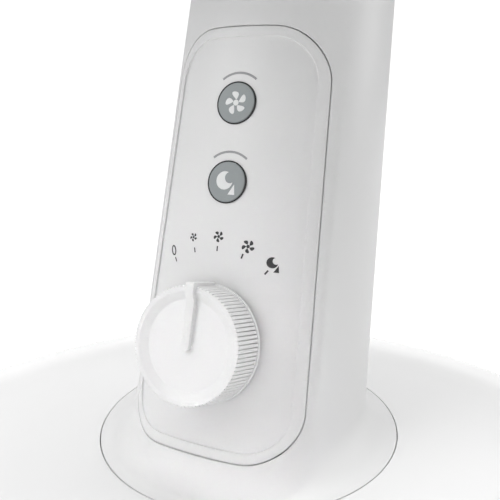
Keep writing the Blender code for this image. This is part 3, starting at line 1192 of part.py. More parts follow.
def build_blades(axis_frame):
    back = BLADE_CENTRE - HUB_DEPTH / 2
    front = BLADE_CENTRE + HUB_DEPTH / 2
    bore = SHAFT_RADIUS + GAP
    inner = HUB_RADIUS - HUB_WALL
    boss = bore + 2 * HUB_WALL
    deck = front - 2 * HUB_WALL
    hub = [(bore, back), (boss, back), (boss, deck), (inner, deck), (inner, back), (HUB_RADIUS, back),
           (HUB_RADIUS, deck), (HUB_RADIUS - HUB_EDGE, front), (bore, front)]
    blades = solid("blade_set", turned(hub, LARGE), BLADE_WHITE, axis_frame)
    for i in range(BLADES):
        shape = blade_mesh()
        shape.transform(Matrix.Rotation(2 * math.pi * i / BLADES, 4, "Z"))
        blade = tool(f"blade_{i + 1}", shape, axis_frame)
        thick = blade.modifiers.new("thickness", "SOLIDIFY")
        thick.thickness = BLADE_THICKNESS
        thick.offset = 0.0
        boolean(blades, blade, "UNION")
    nut_back = front + GAP
    nut_front = nut_back + BLADE_NUT_LENGTH
    shoulder = nut_front - BLADE_NUT_EDGE
    nut = [(0.0, nut_front), (BLADE_NUT_RADIUS - BLADE_NUT_EDGE, nut_front), (BLADE_NUT_RADIUS, shoulder),
           (BLADE_NUT_RADIUS, nut_back), (bore, nut_back), (bore, shoulder), (0.0, shoulder)]
    solid("blade_nut", turned(nut, MEDIUM, closed=False), DARK, axis_frame)


PANEL_FRAME = frame_empty("panel_frame", (0, KNOB_Y, KNOB_Z), rotation=(math.pi / 2 - PANEL_LEAN, 0, 0))
TILT_FRAME = frame_empty("tilt_frame", (0, TILT_Y, TILT_Z))
SWING_FRAME = frame_empty("swing_frame", (0, 0, 0), TILT_FRAME)
AXIS_FRAME = frame_empty("fan_axis_frame", (0, 0, MOTOR_HEIGHT), SWING_FRAME, (math.pi / 2, 0, 0))

build_base()
build_column(PANEL_FRAME)
build_panel(PANEL_FRAME)
build_tilt_joint(TILT_FRAME)
build_neck(TILT_FRAME)
build_saddle(SWING_FRAME)
build_motor(AXIS_FRAME)
build_covers(AXIS_FRAME, SWING_FRAME)
build_drive(SWING_FRAME)
build_cage(AXIS_FRAME)
build_blades(AXIS_FRAME)
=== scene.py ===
"""Looks of the table fan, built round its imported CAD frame. All lengths are in metres."""
import json
from math import acos, atan2, copysign, cos, pi, radians, sin, sqrt, tan, tau

import bmesh
import bpy
from mathutils import Matrix, Vector


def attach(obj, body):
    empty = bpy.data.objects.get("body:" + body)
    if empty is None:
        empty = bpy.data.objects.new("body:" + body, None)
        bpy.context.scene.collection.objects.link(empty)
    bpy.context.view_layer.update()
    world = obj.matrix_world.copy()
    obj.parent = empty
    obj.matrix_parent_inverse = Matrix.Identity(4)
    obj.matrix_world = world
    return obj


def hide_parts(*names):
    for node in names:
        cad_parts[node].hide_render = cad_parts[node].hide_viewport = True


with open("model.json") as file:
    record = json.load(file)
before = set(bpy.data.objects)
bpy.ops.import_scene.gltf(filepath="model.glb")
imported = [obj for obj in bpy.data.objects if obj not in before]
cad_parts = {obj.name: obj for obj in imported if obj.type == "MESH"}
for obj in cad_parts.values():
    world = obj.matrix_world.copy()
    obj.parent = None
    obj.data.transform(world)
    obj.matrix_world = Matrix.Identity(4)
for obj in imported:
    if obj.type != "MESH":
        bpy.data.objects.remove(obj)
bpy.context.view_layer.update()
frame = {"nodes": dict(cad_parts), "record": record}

# Base, as in the CAD
GAP = 0.0003
BASE_RADIUS = 0.1633
DOME_RADIUS = 0.158
UNDERSIDE_RADIUS = 0.1623
DOME_EDGE_Z = 0.0145
DOME_POWER = 1.9
BASE_SIDE_Z = 0.0075
UNDERSIDE_Z = 0.0025
BASE_WALL = 0.0028
GLAND_RADIUS = 0.0045
GLAND_Z = 0.0088

# Column and its flared foot, as in the CAD
FOOT_Z = 0.0353
FOOT_Y = 0.016802
FOOT_RADIUS = 0.053
FOOT_EDGE = 0.003
LEDGE_RADIUS = 0.0395
FLARE_HEIGHT = 0.011
COLUMN_TOP_Z = 0.282
COLUMN_HALF_WIDTH = 0.03907
COLUMN_TAPER = 0.036
COLUMN_POWER = 2.3
COLUMN_BACK_Y = 0.0576
COLUMN_BACK_SLOPE = 0.235
COLUMN_WALL = 0.003

# Control panel, as in the CAD
KNOB_Y = -0.01106
KNOB_Z = 0.077
PANEL_LEAN = radians(17.234)
PANEL_LOW = -0.0352
PANEL_HIGH = 0.1002
PANEL_HALF_WIDTH = 0.0305
PANEL_CORNER = 0.0165
PANEL_RIM = 0.0034
PANEL_RECESS = 0.0007
PANEL_THICKNESS = 0.0025
TURBO_U = 0.0758
NIGHT_U = 0.0508
BUTTON_RADIUS = 0.0064
BUTTON_PROUD = 0.0004
SHAFT_HOLE_RADIUS = 0.0036

# Knob, as in the CAD
KNOB_RADIUS = 0.018
KNOB_BACK_RADIUS = 0.0184
FLANGE_RADIUS = 0.0188
FLANGE_THICKNESS = 0.0011
KNOB_STANDOFF = 0.0005
KNOB_HEIGHT = 0.013
KNOB_GROOVES = 90
KNOB_GROOVE_DEPTH = 0.00058
DISH_OUTER = 0.0163
DISH_INNER = 0.0138
DISH_DEPTH = 0.0015
CAVITY_TOP = 0.0097
POINTER_WIDTH = 0.00273
POINTER_HEIGHT = 0.0016
POINTER_RIM_HEIGHT = 0.0014
POINTER_SIDE_HEIGHT = 0.001

SMOOTH_ANGLE = radians(32)


def at(*place):
    return Matrix.Translation(place)


PANEL_PLACE = Matrix(((1, 0, 0, 0), (0, sin(PANEL_LEAN), -cos(PANEL_LEAN), KNOB_Y),
    (0, cos(PANEL_LEAN), sin(PANEL_LEAN), KNOB_Z), (0, 0, 0, 1)))


# Materials

def fill(node, values):
    for name, value in values.items():
        node.inputs[name].default_value = value
    return node


def moulded(name, colour, roughness, spread=0.05, grain=0.0006, depth=1e-5, tint=0.03, metallic=0.0,
        subsurface=0):
    """Moulded or cast stock: slow changes of tone and gloss, and a fine grain in the surface."""
    made = bpy.data.materials.new(name)
    made.use_nodes = True
    nodes, link = made.node_tree.nodes, made.node_tree.links.new
    shader = nodes["Principled BSDF"]
    fill(shader, {"Metallic": metallic, "Subsurface Weight": subsurface, "Subsurface Scale": 0.002})
    place = nodes.new("ShaderNodeTexCoord")

    def noise(size, detail):
        texture = fill(nodes.new("ShaderNodeTexNoise"), {"Scale": 1 / size, "Detail": detail})
        link(place.outputs["Object"], texture.inputs["Vector"])
        return texture.outputs["Fac"]

    tone = nodes.new("ShaderNodeMix")
    tone.data_type = "RGBA"
    fill(tone, {"A": (*[c * (1 - tint) for c in colour], 1), "B": (*colour, 1)})
    link(noise(0.05, 3), tone.inputs["Factor"])
    link(tone.outputs["Result"], shader.inputs["Base Color"])
    gloss = fill(nodes.new("ShaderNodeMapRange"), {
        "From Min": 0.3, "From Max": 0.7, "To Min": roughness - spread, "To Max": roughness + spread})
    link(noise(0.012, 4), gloss.inputs["Value"])
    link(gloss.outputs["Result"], shader.inputs["Roughness"])
    bump = fill(nodes.new("ShaderNodeBump"), {"Strength": 0.5, "Distance": depth})
    link(noise(grain, 2), bump.inputs["Height"])
    link(bump.outputs["Normal"], shader.inputs["Normal"])
    return made


def brushed(name, colour, roughness, grain, depth):
    """Turned or drawn metal: streaks in the surface that follow one direction."""
    made = moulded(name, colour, roughness, 0.08, grain, depth, 0.12, 1.0)
    nodes, links = made.node_tree.nodes, made.node_tree.links
    wave = fill(nodes.new("ShaderNodeTexWave"), {"Scale": 1 / grain / 20, "Distortion": 6.0})
    place = next(n for n in nodes if n.type == "TEX_COORD")
    links.new(place.outputs["Object"], wave.inputs["Vector"])
    bump = next(n for n in nodes if n.type == "BUMP")
    links.new(wave.outputs["Fac"], bump.inputs["Height"])
    return made


SHELL_WHITE = moulded("shell_white", (0.76, 0.76, 0.76), 0.36, 0.03, 0.0007, 8e-6, 0.015)
BASE_WHITE = moulded("base_white", (0.83, 0.83, 0.83), 0.2, 0.012, 0.0009, 2e-6, 0.008)
PANEL_WHITE = moulded("panel_white", (0.77, 0.77, 0.77), 0.38, 0.03, 0.0007, 8e-6, 0.012)
# Painted light: the knob's white is lighter than the panel's white, standing in for the extra light the
# proud knob catches.
KNOB_WHITE_PAINTED_LIGHT = moulded("knob_white_painted_light", (0.82, 0.82, 0.82), 0.36, 0.03, 0.0006, 6e-6, 0.012)
BUTTON_GREY = moulded("button_soft_grey", (0.285, 0.31, 0.315), 0.42, 0.04, 0.0004, 1e-5, 0.05)
MARK_LIGHT = moulded("mark_light", (0.80, 0.81, 0.81), 0.5, 0.04, 0.0004, 4e-6, 0.04)
MARK_PALE = moulded("mark_pale", (0.33, 0.335, 0.34), 0.5, 0.04, 0.0004, 4e-6, 0.04)
MARK_DARK = moulded("mark_dark", (0.03, 0.03, 0.032), 0.5, 0.04, 0.0004, 4e-6, 0.08)
HEAD_WHITE = moulded("head_white", (0.75, 0.75, 0.75), 0.36, 0.04, 0.0007, 8e-6, 0.02)
WIRE_WHITE = moulded("coated_wire", (0.72, 0.72, 0.72), 0.30, 0.05, 0.0012, 3e-5, 0.03)
BLADE_WHITE = moulded("blade_clear_white", (0.66, 0.70, 0.73), 0.22, 0.04, 0.0015, 1e-5, 0.03,
                      subsurface=0.15)
DARK_PLASTIC = moulded("dark_moulding", (0.045, 0.046, 0.05), 0.5, 0.06, 0.0005, 2e-5, 0.15)
# Black rubber for the pads. The rings in the button gaps use it too, as painted shade.
RUBBER_AND_GAP_SHADE = moulded("pad_rubber_and_gap_shade", (0.022, 0.022, 0.023), 0.72, 0.06, 0.0008, 4e-5, 0.2)
NYLON = moulded("gear_nylon", (0.70, 0.68, 0.60), 0.45, 0.05, 0.0006, 1e-5, 0.05)
CIRCUIT = moulded("board_laminate", (0.03, 0.14, 0.06), 0.4, 0.06, 0.0005, 2e-5, 0.2)
COPPER = brushed("enamelled_winding", (0.55, 0.20, 0.07), 0.35, 0.0006, 0.00012)
STEEL = brushed("drawn_steel", (0.52, 0.52, 0.53), 0.3, 0.0004, 1.5e-5)
ALLOY = moulded("cast_alloy_grain", (0.50, 0.50, 0.51), 0.48, 0.08, 0.0008, 6e-5, 0.1, 1.0)
IRON = moulded("cast_iron_grain", (0.10, 0.10, 0.105), 0.62, 0.08, 0.0012, 0.0001, 0.2, 1.0)
BRONZE = moulded("bearing_sinter", (0.42, 0.28, 0.13), 0.5, 0.06, 0.0005, 4e-5, 0.15, 1.0)

# Each slot's finishes. The CAD part's own nodes have the first one
SLOTS = {
    "white_plastic": (HEAD_WHITE, SHELL_WHITE, BASE_WHITE, KNOB_WHITE_PAINTED_LIGHT, WIRE_WHITE),
    "button_grey": (BUTTON_GREY, MARK_LIGHT, MARK_PALE, MARK_DARK), "dark_plastic": (DARK_PLASTIC,),
    "black_rubber": (RUBBER_AND_GAP_SHADE,), "steel": (STEEL,), "panel_plastic": (PANEL_WHITE,), "nylon": (NYLON,),
    "circuit_board": (CIRCUIT,), "cast_alloy": (ALLOY,), "copper_winding": (COPPER,), "weight_iron": (IRON,),
    "bearing_bronze": (BRONZE,), "blade_plastic": (BLADE_WHITE,),
}
for part in frame["record"]["subparts"]:
    for held in frame["nodes"][part["node"]].material_slots:
        held.material = SLOTS[part["material_slot"]][0]


# Mesh helpers

def rounded(corners, steps=4):
    """A profile whose corners (r, z, reach) are turned over the length reach on each side."""
    points = []
    for i, (r, z, *reach) in enumerate(corners):
        here = Vector((r, z))
        if not reach:
            points.append((r, z))
            continue
        before, after = [(Vector(corners[k % len(corners)][:2]) - here).normalized() * reach[0]
            for k in (i - 1, i + 1)]
        for t in [k / steps for k in range(steps + 1)]:
            points.append(tuple(here + before * (1 - t) ** 2 + after * t * t))
    return points


def polar(radius, angle):
    return radius * cos(angle), radius * sin(angle)


def quarter(steps, first=0):
    """Cosine and sine at even steps over a quarter turn."""
    return [polar(1, pi / 2 * k / steps) for k in range(first, steps + 1)]


def disc(radius, sides):
    return [polar(radius, tau * i / sides) for i in range(sides)]


def between(start, end, share):
    return start + (end - start) * share


def circle(radius, height, sides, centre_y=0):
    return [(x, centre_y + y, height) for x, y in disc(radius, sides)]


def skin(shape, rows, close_loop=False):
    """Joins rings of equal count with quads; with close_loop the last ring joins the first."""
    made = [[shape.verts.new(p) for p in row] for row in rows]
    pairs = list(zip(made, made[1:]))
    if close_loop:
        pairs.append((made[-1], made[0]))
    for lower, upper in pairs:
        for i in range(len(lower)):
            j = (i + 1) % len(lower)
            shape.faces.new((lower[i], lower[j], upper[j], upper[i]))
    return made


def sheet(shape, rows):
    """An open sheet through rows of points."""
    made = [[shape.verts.new(p) for p in row] for row in rows]
    for lower, upper in zip(made, made[1:]):
        for i in range(len(lower) - 1):
            shape.faces.new((lower[i], lower[i + 1], upper[i + 1], upper[i]))


def capped(shape, rows):
    """A solid through rings of equal count, with a flat face at each end."""
    rings = skin(shape, rows)
    shape.faces.new(rings[0])
    shape.faces.new(rings[-1])
    return shape


def pointed(shape, rings, heights):
    """Closes the first and the last ring with faces round a point on the axis."""
    for ring, height in zip((rings[0], rings[-1]), heights):
        pole = shape.verts.new((0, 0, height))
        for i, vert in enumerate(ring):
            shape.faces.new((vert, ring[(i + 1) % len(ring)], pole))
    return shape


def looped(rows):
    """A solid whose rings go round a closed section."""
    shape = bmesh.new()
    skin(shape, rows, True)
    return shape


def ridges(count, low, pitch, points):
    """The same points (radius, share of the pitch) again and again along the axis."""
    return [(radius, low + (i + share) * pitch) for i in range(count) for radius, share in points]


def groove(radius, top, half):
    """A ring groove in a flat face, from its outer edge in."""
    low = top - 0.0004
    return [(radius + 0.0007, top), (radius + half, low), (radius - half, low), (radius - 0.0007, top)]


def lathe(section, sides):
    """A ring about Z, turned from its section."""
    return looped([circle(r, z, sides) for r, z in section])


def turned(profile, sides):
    """A solid turned about Z. The profile starts and ends on the axis."""
    shape = bmesh.new()
    rings = skin(shape, [circle(r, z, sides) for r, z in profile[1:-1]])
    return pointed(shape, rings, (profile[0][1], profile[-1][1]))


def added(name, data):
    made = bpy.data.objects.new(name, data)
    bpy.context.scene.collection.objects.link(made)
    return made


def solid(shape):
    """An object from a shape."""
    mesh = bpy.data.meshes.new("shape")
    bmesh.ops.remove_doubles(shape, verts=shape.verts, dist=1e-7)
    bmesh.ops.recalc_face_normals(shape, faces=shape.faces)
    shape.to_mesh(mesh)
    shape.free()
    return added("shape", mesh)


def taken(made):
    """A shape from an object, which goes."""
    shape = bmesh.new()
    shape.from_mesh(made.data)
    bpy.data.objects.remove(made)
    return shape


def together(*shapes):
    """Several shapes in one mesh."""
    whole = bmesh.new()
    for shape in shapes:
        mesh = bpy.data.meshes.new("shape")
        shape.to_mesh(mesh)
        shape.free()
        whole.from_mesh(mesh)
        bpy.data.meshes.remove(mesh)
    return whole


def apply_steps(target):
    """Makes the object's modifiers part of its mesh."""
    bpy.context.view_layer.update()
    old = target.data
    target.data = bpy.data.meshes.new_from_object(
        target.evaluated_get(bpy.context.evaluated_depsgraph_get()))
    target.modifiers.clear()
    bpy.data.meshes.remove(old)


def cut(target, shape, operation="DIFFERENCE"):
    """Cuts a shape from the object, or joins it on."""
    other = solid(shape)
    step = target.modifiers.new("cut", "BOOLEAN")
    step.operation = operation
    step.solver = "EXACT"
    step.object = other
    apply_steps(target)
    bpy.data.objects.remove(other)


def join(target, shape):
    cut(target, shape, "UNION")


def bevel(target, width, angle):
    step = target.modifiers.new("edges", "BEVEL")
    step.width = width
    step.segments = 3
    step.limit_method = "ANGLE"
    step.angle_limit = radians(angle)
    step.use_clamp_overlap = True
    apply_steps(target)


def piece(name, shape, finish, body, node=None, place=None):
    """A finished piece from a shape, or from an object that solid() made."""
    made = solid(shape) if isinstance(shape, bmesh.types.BMesh) else shape
    made.name = name
    made.data.name = name
    if place:
        made.data.transform(place)
    made.data.materials.clear()
    made.data.materials.append(finish)
    made.data.shade_smooth()
    made.data.set_sharp_from_angle(angle=SMOOTH_ANGLE)
    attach(made, body)
    if node:
        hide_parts(node)


def prism(outline, low, high):
    """A straight solid over a closed outline."""
    return capped(bmesh.new(), [[(x, y, z) for x, y in outline] for z in (low, high)])


def slab(outline, left, right):
    """A straight solid along X over a closed outline of (y, z) points."""
    return capped(bmesh.new(), [[(x, y, z) for y, z in outline] for x in (left, right)])


def moved(shape, place):
    shape.transform(place)
    return shape


def rod(radius, low, high, sides, place=Matrix()):
    return moved(prism(disc(radius, sides), low, high), place)


# Base

BASE_TURNS = 256
DOME_STEPS = 56
RIM_STEPS = 12
EDGE_ROUND = 0.0003


def dome_z(radius):
    reach = max(radius - FOOT_RADIUS, 0) / (DOME_RADIUS - FOOT_RADIUS)
    return DOME_EDGE_Z + (FOOT_Z - DOME_EDGE_Z) * (1 - reach ** DOME_POWER)


def dome_centre_y(radius):
    reach = (DOME_RADIUS - radius) / (DOME_RADIUS - FOOT_RADIUS)
    return FOOT_Y * min(max(reach, 0), 1.0)


def build_base():
    seam = FOOT_RADIUS + GAP
    ledge_z = FOOT_Z - FOOT_EDGE - GAP
    start = seam + EDGE_ROUND
    dome = [start + (DOME_RADIUS - start) * i / DOME_STEPS for i in range(DOME_STEPS + 1)]
    step = 0.001
    slope = (DOME_EDGE_Z - dome_z(DOME_RADIUS - step)) / step
    corner_z = DOME_EDGE_Z + slope * (BASE_RADIUS - DOME_RADIUS)
    profile = [(LEDGE_RADIUS, ledge_z), (seam, ledge_z), (seam, FOOT_Z - EDGE_ROUND),
        (seam + EDGE_ROUND * 0.1, FOOT_Z - EDGE_ROUND * 0.4),
        (seam + EDGE_ROUND * 0.4, FOOT_Z - EDGE_ROUND * 0.1)]
    profile += [(r, dome_z(r)) for r in dome]
    for k in range(1, RIM_STEPS + 1):
        t = k / RIM_STEPS
        r = DOME_RADIUS * (1 - t) ** 2 + BASE_RADIUS * (2 * t * (1 - t) + t * t)
        z = DOME_EDGE_Z * (1 - t) ** 2 + corner_z * 2 * t * (1 - t) + BASE_SIDE_Z * t * t
        profile.append((r, z))
    edge, low, wall = UNDERSIDE_RADIUS, UNDERSIDE_Z, BASE_WALL
    profile += [(edge + 0.0001, low + 0.0006), (edge - 0.0001, low + 0.0002), (edge - 0.0005, low),
        (edge - wall, low), (BASE_RADIUS - wall, BASE_SIDE_Z)]
    profile += [(r - wall / 2, dome_z(r) - wall) for r in reversed(dome[6::5])]
    profile += [(seam + wall, dome_z(seam) - wall), (seam + wall, ledge_z - wall),
        (LEDGE_RADIUS, ledge_z - wall)]
    cover = solid(looped([circle(r, z, BASE_TURNS, dome_centre_y(r)) for r, z in profile]))
    hole_place = at(0, 0, GLAND_Z) @ Matrix.Rotation(-pi / 2, 4, "X")
    cut(cover, rod(GLAND_RADIUS + GAP, 0.14, 0.17, 48, hole_place))
    piece("base_dome", cover, BASE_WHITE, "base", "base_cover")


# Column

COLUMN_TURNS = 240
FLARE_STEPS = 22
COLUMN_ROWS = 30
COLUMN_DRIFT = 0.2726
COLUMN_HALF_DEPTH = 0.034
FOOT_SHIFT = 0.31


def outside(cosine, sine, z):
    """A point of the column's outer side. The flare blends the section into the round foot."""
    half_width = COLUMN_HALF_WIDTH - COLUMN_TAPER * (z - KNOB_Z)
    front = KNOB_Y + tan(PANEL_LEAN) * (z - KNOB_Z)
    back = COLUMN_BACK_Y + COLUMN_BACK_SLOPE * (z - FOOT_Z)
    power = 2 / COLUMN_POWER
    x = half_width * copysign(abs(cosine) ** power, cosine)
    y = (front + back) / 2 + (back - front) / 2 * copysign(abs(sine) ** power, sine)
    if z < FOOT_Z + FLARE_HEIGHT:
        rise = min(max(1 - (z - FOOT_Z) / FLARE_HEIGHT, 0), 1.0)
        spread = 1 - sqrt(1 - rise * rise)
        x += (FOOT_RADIUS * cosine - x) * spread
        y += (FOOT_Y + FOOT_RADIUS * sine - y) * spread
    return x, y


def front_y(x, z):
    """The column's front at x and height z."""
    low, high = -1.0, 1.0
    for _ in range(36):
        middle = (low + high) / 2
        if outside(middle, -sqrt(1 - middle * middle), z)[0] < x:
            low = middle
        else:
            high = middle
    return outside(low, -sqrt(1 - low * low), z)[1]


def panel_rise(x, up):
    """How far the column's front is from the panel plane, along the panel's normal."""
    lean_sine, lean_cosine = sin(PANEL_LEAN), cos(PANEL_LEAN)
    rise = 0
    for _ in range(5):
        z = KNOB_Z + up * lean_cosine + rise * lean_sine
        rise = (KNOB_Y + up * lean_sine - front_y(x, z)) / lean_cosine
    return rise


PANEL_POINTS = {}


def on_panel(x, up, depth):
    """The point that deep under the column's front, at x and up in the panel's own plane."""
    key = (round(x, 7), round(up, 7))
    if key not in PANEL_POINTS:
        step = 0.0002
        across = (panel_rise(x + step, up) - panel_rise(x - step, up)) / (2 * step)
        along = (panel_rise(x, up + step) - panel_rise(x, up - step)) / (2 * step)
        PANEL_POINTS[key] = (panel_rise(x, up), sqrt(1 + across * across + along * along))
    rise, stretch = PANEL_POINTS[key]
    return PANEL_PLACE @ Vector((x, up, rise - depth * stretch))


SIDE_STEPS = 44
TOP_STEPS = 18
CORNER_STEPS = 14


def corner_centre(side, end):
    inward = 1 if end < 0 else -1
    up = end + inward * PANEL_CORNER
    return side * (PANEL_HALF_WIDTH - COLUMN_TAPER * up - PANEL_CORNER), up


def panel_stations():
    """Points of the inner quadrilateral with their outward directions, once round the panel."""
    corners = [corner_centre(side, end) for side, end in (
        (1, PANEL_LOW), (1, PANEL_HIGH), (-1, PANEL_HIGH), (-1, PANEL_LOW))]
    stations = []
    for k, (x, up) in enumerate(corners):
        end = corners[(k + 1) % 4]
        steps = (SIDE_STEPS, TOP_STEPS)[k % 2]
        for i in range(steps):
            stations.append(((between(x, end[0], i / steps), between(up, end[1], i / steps)), k * pi / 2))
        stations += [(end, k * pi / 2 + pi / 2 * i / CORNER_STEPS) for i in range(CORNER_STEPS)]
    return stations


def panel_ring(inset, depth, stations):
    reach = PANEL_CORNER - inset
    return [on_panel(x + reach * cos(a), up + reach * sin(a), depth) for (x, up), a in stations]


def panel_core(shape, depth):
    low, high = corner_centre(1, PANEL_LOW), corner_centre(1, PANEL_HIGH)
    grid = []
    for j in range(SIDE_STEPS + 1):
        t = j / SIDE_STEPS
        half, up = between(low[0], high[0], t), between(low[1], high[1], t)
        grid.append([on_panel(half * (2 * i / TOP_STEPS - 1), up, depth) for i in range(TOP_STEPS + 1)])
    sheet(shape, grid)


def panel_solid(profile, back_depth):
    """A solid with the panel's outline. Its profile (inset, depth) starts at the back edge."""
    stations = panel_stations()
    shape = bmesh.new()
    last_inset, field_depth = profile[-1]
    first_inset = profile[0][0]
    shares = (0.25, 0.5, 0.75, 1.0)
    rows = [(first_inset + (PANEL_CORNER - first_inset) * s, back_depth) for s in reversed(shares)]
    rows += profile
    rows += [(last_inset + (PANEL_CORNER - last_inset) * s / 9, field_depth) for s in range(1, 10)]
    skin(shape, [panel_ring(inset, depth, stations) for inset, depth in rows])
    panel_core(shape, field_depth)
    panel_core(shape, back_depth)
    bmesh.ops.remove_doubles(shape, verts=shape.verts, dist=2e-6)
    bmesh.ops.dissolve_degenerate(shape, edges=shape.edges, dist=1e-7)
    return shape


def column_ring(z, inset):
    """The column's section at height z, drawn in towards its middle; straight on below the flare."""
    flare_top = FOOT_Z + FLARE_HEIGHT
    shift = max(flare_top - z, 0) * FOOT_SHIFT
    centre = FOOT_Y + (z - FOOT_Z) * COLUMN_DRIFT
    scale = 1 - inset / COLUMN_HALF_DEPTH
    section = [outside(c, s, max(z, flare_top)) for c, s in disc(1, COLUMN_TURNS)]
    return [(x * scale, centre + (y - shift - centre) * scale, z) for x, y in section]


def build_column():
    unit = disc(1, COLUMN_TURNS)
    rows = []
    for share, drop in ((0, FOOT_EDGE), (0, EDGE_ROUND), (0.1, 0.4 * EDGE_ROUND), (0.4, 0.1 * EDGE_ROUND),
            (1.0, 0)):
        radius = FOOT_RADIUS - share * EDGE_ROUND
        rows.append([(radius * c, FOOT_Y + radius * s, FOOT_Z - drop) for c, s in unit])
    heights = [FOOT_Z + FLARE_HEIGHT * (1 - c) for c, _ in quarter(FLARE_STEPS, 2)]
    start = heights[-1]
    heights += [start + (COLUMN_TOP_Z - start) * i / COLUMN_ROWS for i in range(1, COLUMN_ROWS + 1)]
    rows += [[(*outside(c, s, z), z) for c, s in unit] for z in heights]
    rows += [column_ring(z, COLUMN_WALL)
        for z in (COLUMN_TOP_Z, COLUMN_TOP_Z - 0.08, COLUMN_TOP_Z - 0.16, FOOT_Z - FOOT_EDGE)]
    column = solid(looped(rows))
    chamfer = 0.00012
    window = [(0, 0.014), (0, 0.0004), (-chamfer * 0.3, 0.00015), (-chamfer, 4e-5),
        (-2 * chamfer, -4e-5), (-0.0012, -0.0012)]
    cut(column, panel_solid(window, 0.014))
    piece("column_body", column, SHELL_WHITE, "base", "column_shell")


def build_panel():
    edge = 0.00034
    step = 0.00022
    profile = [(GAP, PANEL_THICKNESS), (GAP, edge), (GAP + edge * 0.12, edge * 0.45),
        (GAP + edge * 0.45, edge * 0.12), (GAP + edge, 0), (PANEL_RIM * 0.5, 0), (PANEL_RIM - step, 0),
        (PANEL_RIM - step * 0.4, step * 0.1), (PANEL_RIM - step * 0.1, step * 0.4),
        (PANEL_RIM + step * 0.1, PANEL_RECESS - step * 0.8),
        (PANEL_RIM + step * 0.5, PANEL_RECESS - step * 0.2), (PANEL_RIM + step * 1.3, PANEL_RECESS)]
    plate = solid(panel_solid(profile, PANEL_THICKNESS))
    wide = BUTTON_RADIUS + BUTTON_GAP
    for radius, up, sides in ((wide, TURBO_U, 96), (wide, NIGHT_U, 96), (SHAFT_HOLE_RADIUS, 0, 48)):
        cut(plate, rod(radius, -0.02, 0.005, sides, PANEL_PLACE @ at(0, up, 0)))
    piece("panel_face", plate, PANEL_WHITE, "base", "panel_plate")


# Buttons, knob and marks

BUTTON_FACE = BUTTON_PROUD - PANEL_RECESS
BUTTON_ROUND = 0.00035
# Width of the gap round each button. The black ring in this gap is painted shade.
BUTTON_GAP = 0.0004
MARK_HALF_THICKNESS = 5e-5
DIAL_TICKS = ((-34.4, 0.0290, 0.00042), (-17.6, 0.0290, 0.0004), (-1.2, 0.0289, 0.0004),
    (16.1, 0.0286, 0.0005), (33.7, 0.0283, 0.0005))
TICK_LENGTH = 0.0016
DIAL_FANS = ((-17.4, 0.0340, 0.0028), (-1.1, 0.0335, 0.0036), (17.1, 0.0329, 0.0042))
DIAL_ZERO = (-33.9, 0.0331)
DIAL_NIGHT = (32.6, 0.0325)
MOON_LEAN = 0.5
MOON_BITE = 0.62
MOON_BITE_SHIFT = 0.72
NIGHT_PENNANT = [(0.0019, -0.0007), (0.0022, -0.0029), (0.0006, -0.0029)]
ARC_RADIUS = 0.0092
ARC_WIDTH = 0.0007
ARC_HALF_ANGLE = radians(38)


def build_buttons():
    for name, up in (("turbo", TURBO_U), ("night", NIGHT_U)):
        place = PANEL_PLACE @ at(0, up, 0)
        wide, face = BUTTON_RADIUS, BUTTON_FACE
        corners = [(0, face), (wide * 0.6, face), (wide, face, BUTTON_ROUND), (wide, -0.0032),
            (0.0076, -0.0032), (0.0076, -0.0039), (0.0022, -0.0039), (0.0022, -0.0045), (0, -0.0045)]
        cap = turned(rounded(corners, 6), 96)
        piece(f"{name}_cap", cap, BUTTON_GREY, f"{name}_button", f"{name}_button", place)
        # Painted shade: a black ring fills the gap round the button almost up to its face, standing in for
        # the shadow in the gap.
        inner = BUTTON_RADIUS + 4e-5
        outer = BUTTON_RADIUS + BUTTON_GAP - 2e-5
        high = BUTTON_FACE - 0.0001
        gap_shade_ring = [(inner, -0.0025), (outer, -0.0025), (outer, high, 6e-5), (inner, high, 6e-5)]
        piece(f"{name}_seal", lathe(rounded(gap_shade_ring, 3), 96), RUBBER_AND_GAP_SHADE, "base", place=place)


def grooved_ring(land, height):
    """One ring of the knob's side: wide lands with narrow grooves whose bottoms lie on one radius."""
    bottom = min(land, KNOB_RADIUS - KNOB_GROOVE_DEPTH)
    shares = (0, 0.19, 0.37, 0.405, 0.44, 0.5, 0.56, 0.595, 0.63, 0.81)
    depths = (0, 0, 0, 0.3, 0.9, 1.0, 0.9, 0.3, 0, 0)
    return [(*polar(between(land, bottom, depth), tau * (i + share) / KNOB_GROOVES), height)
        for i in range(KNOB_GROOVES) for share, depth in zip(shares, depths)]


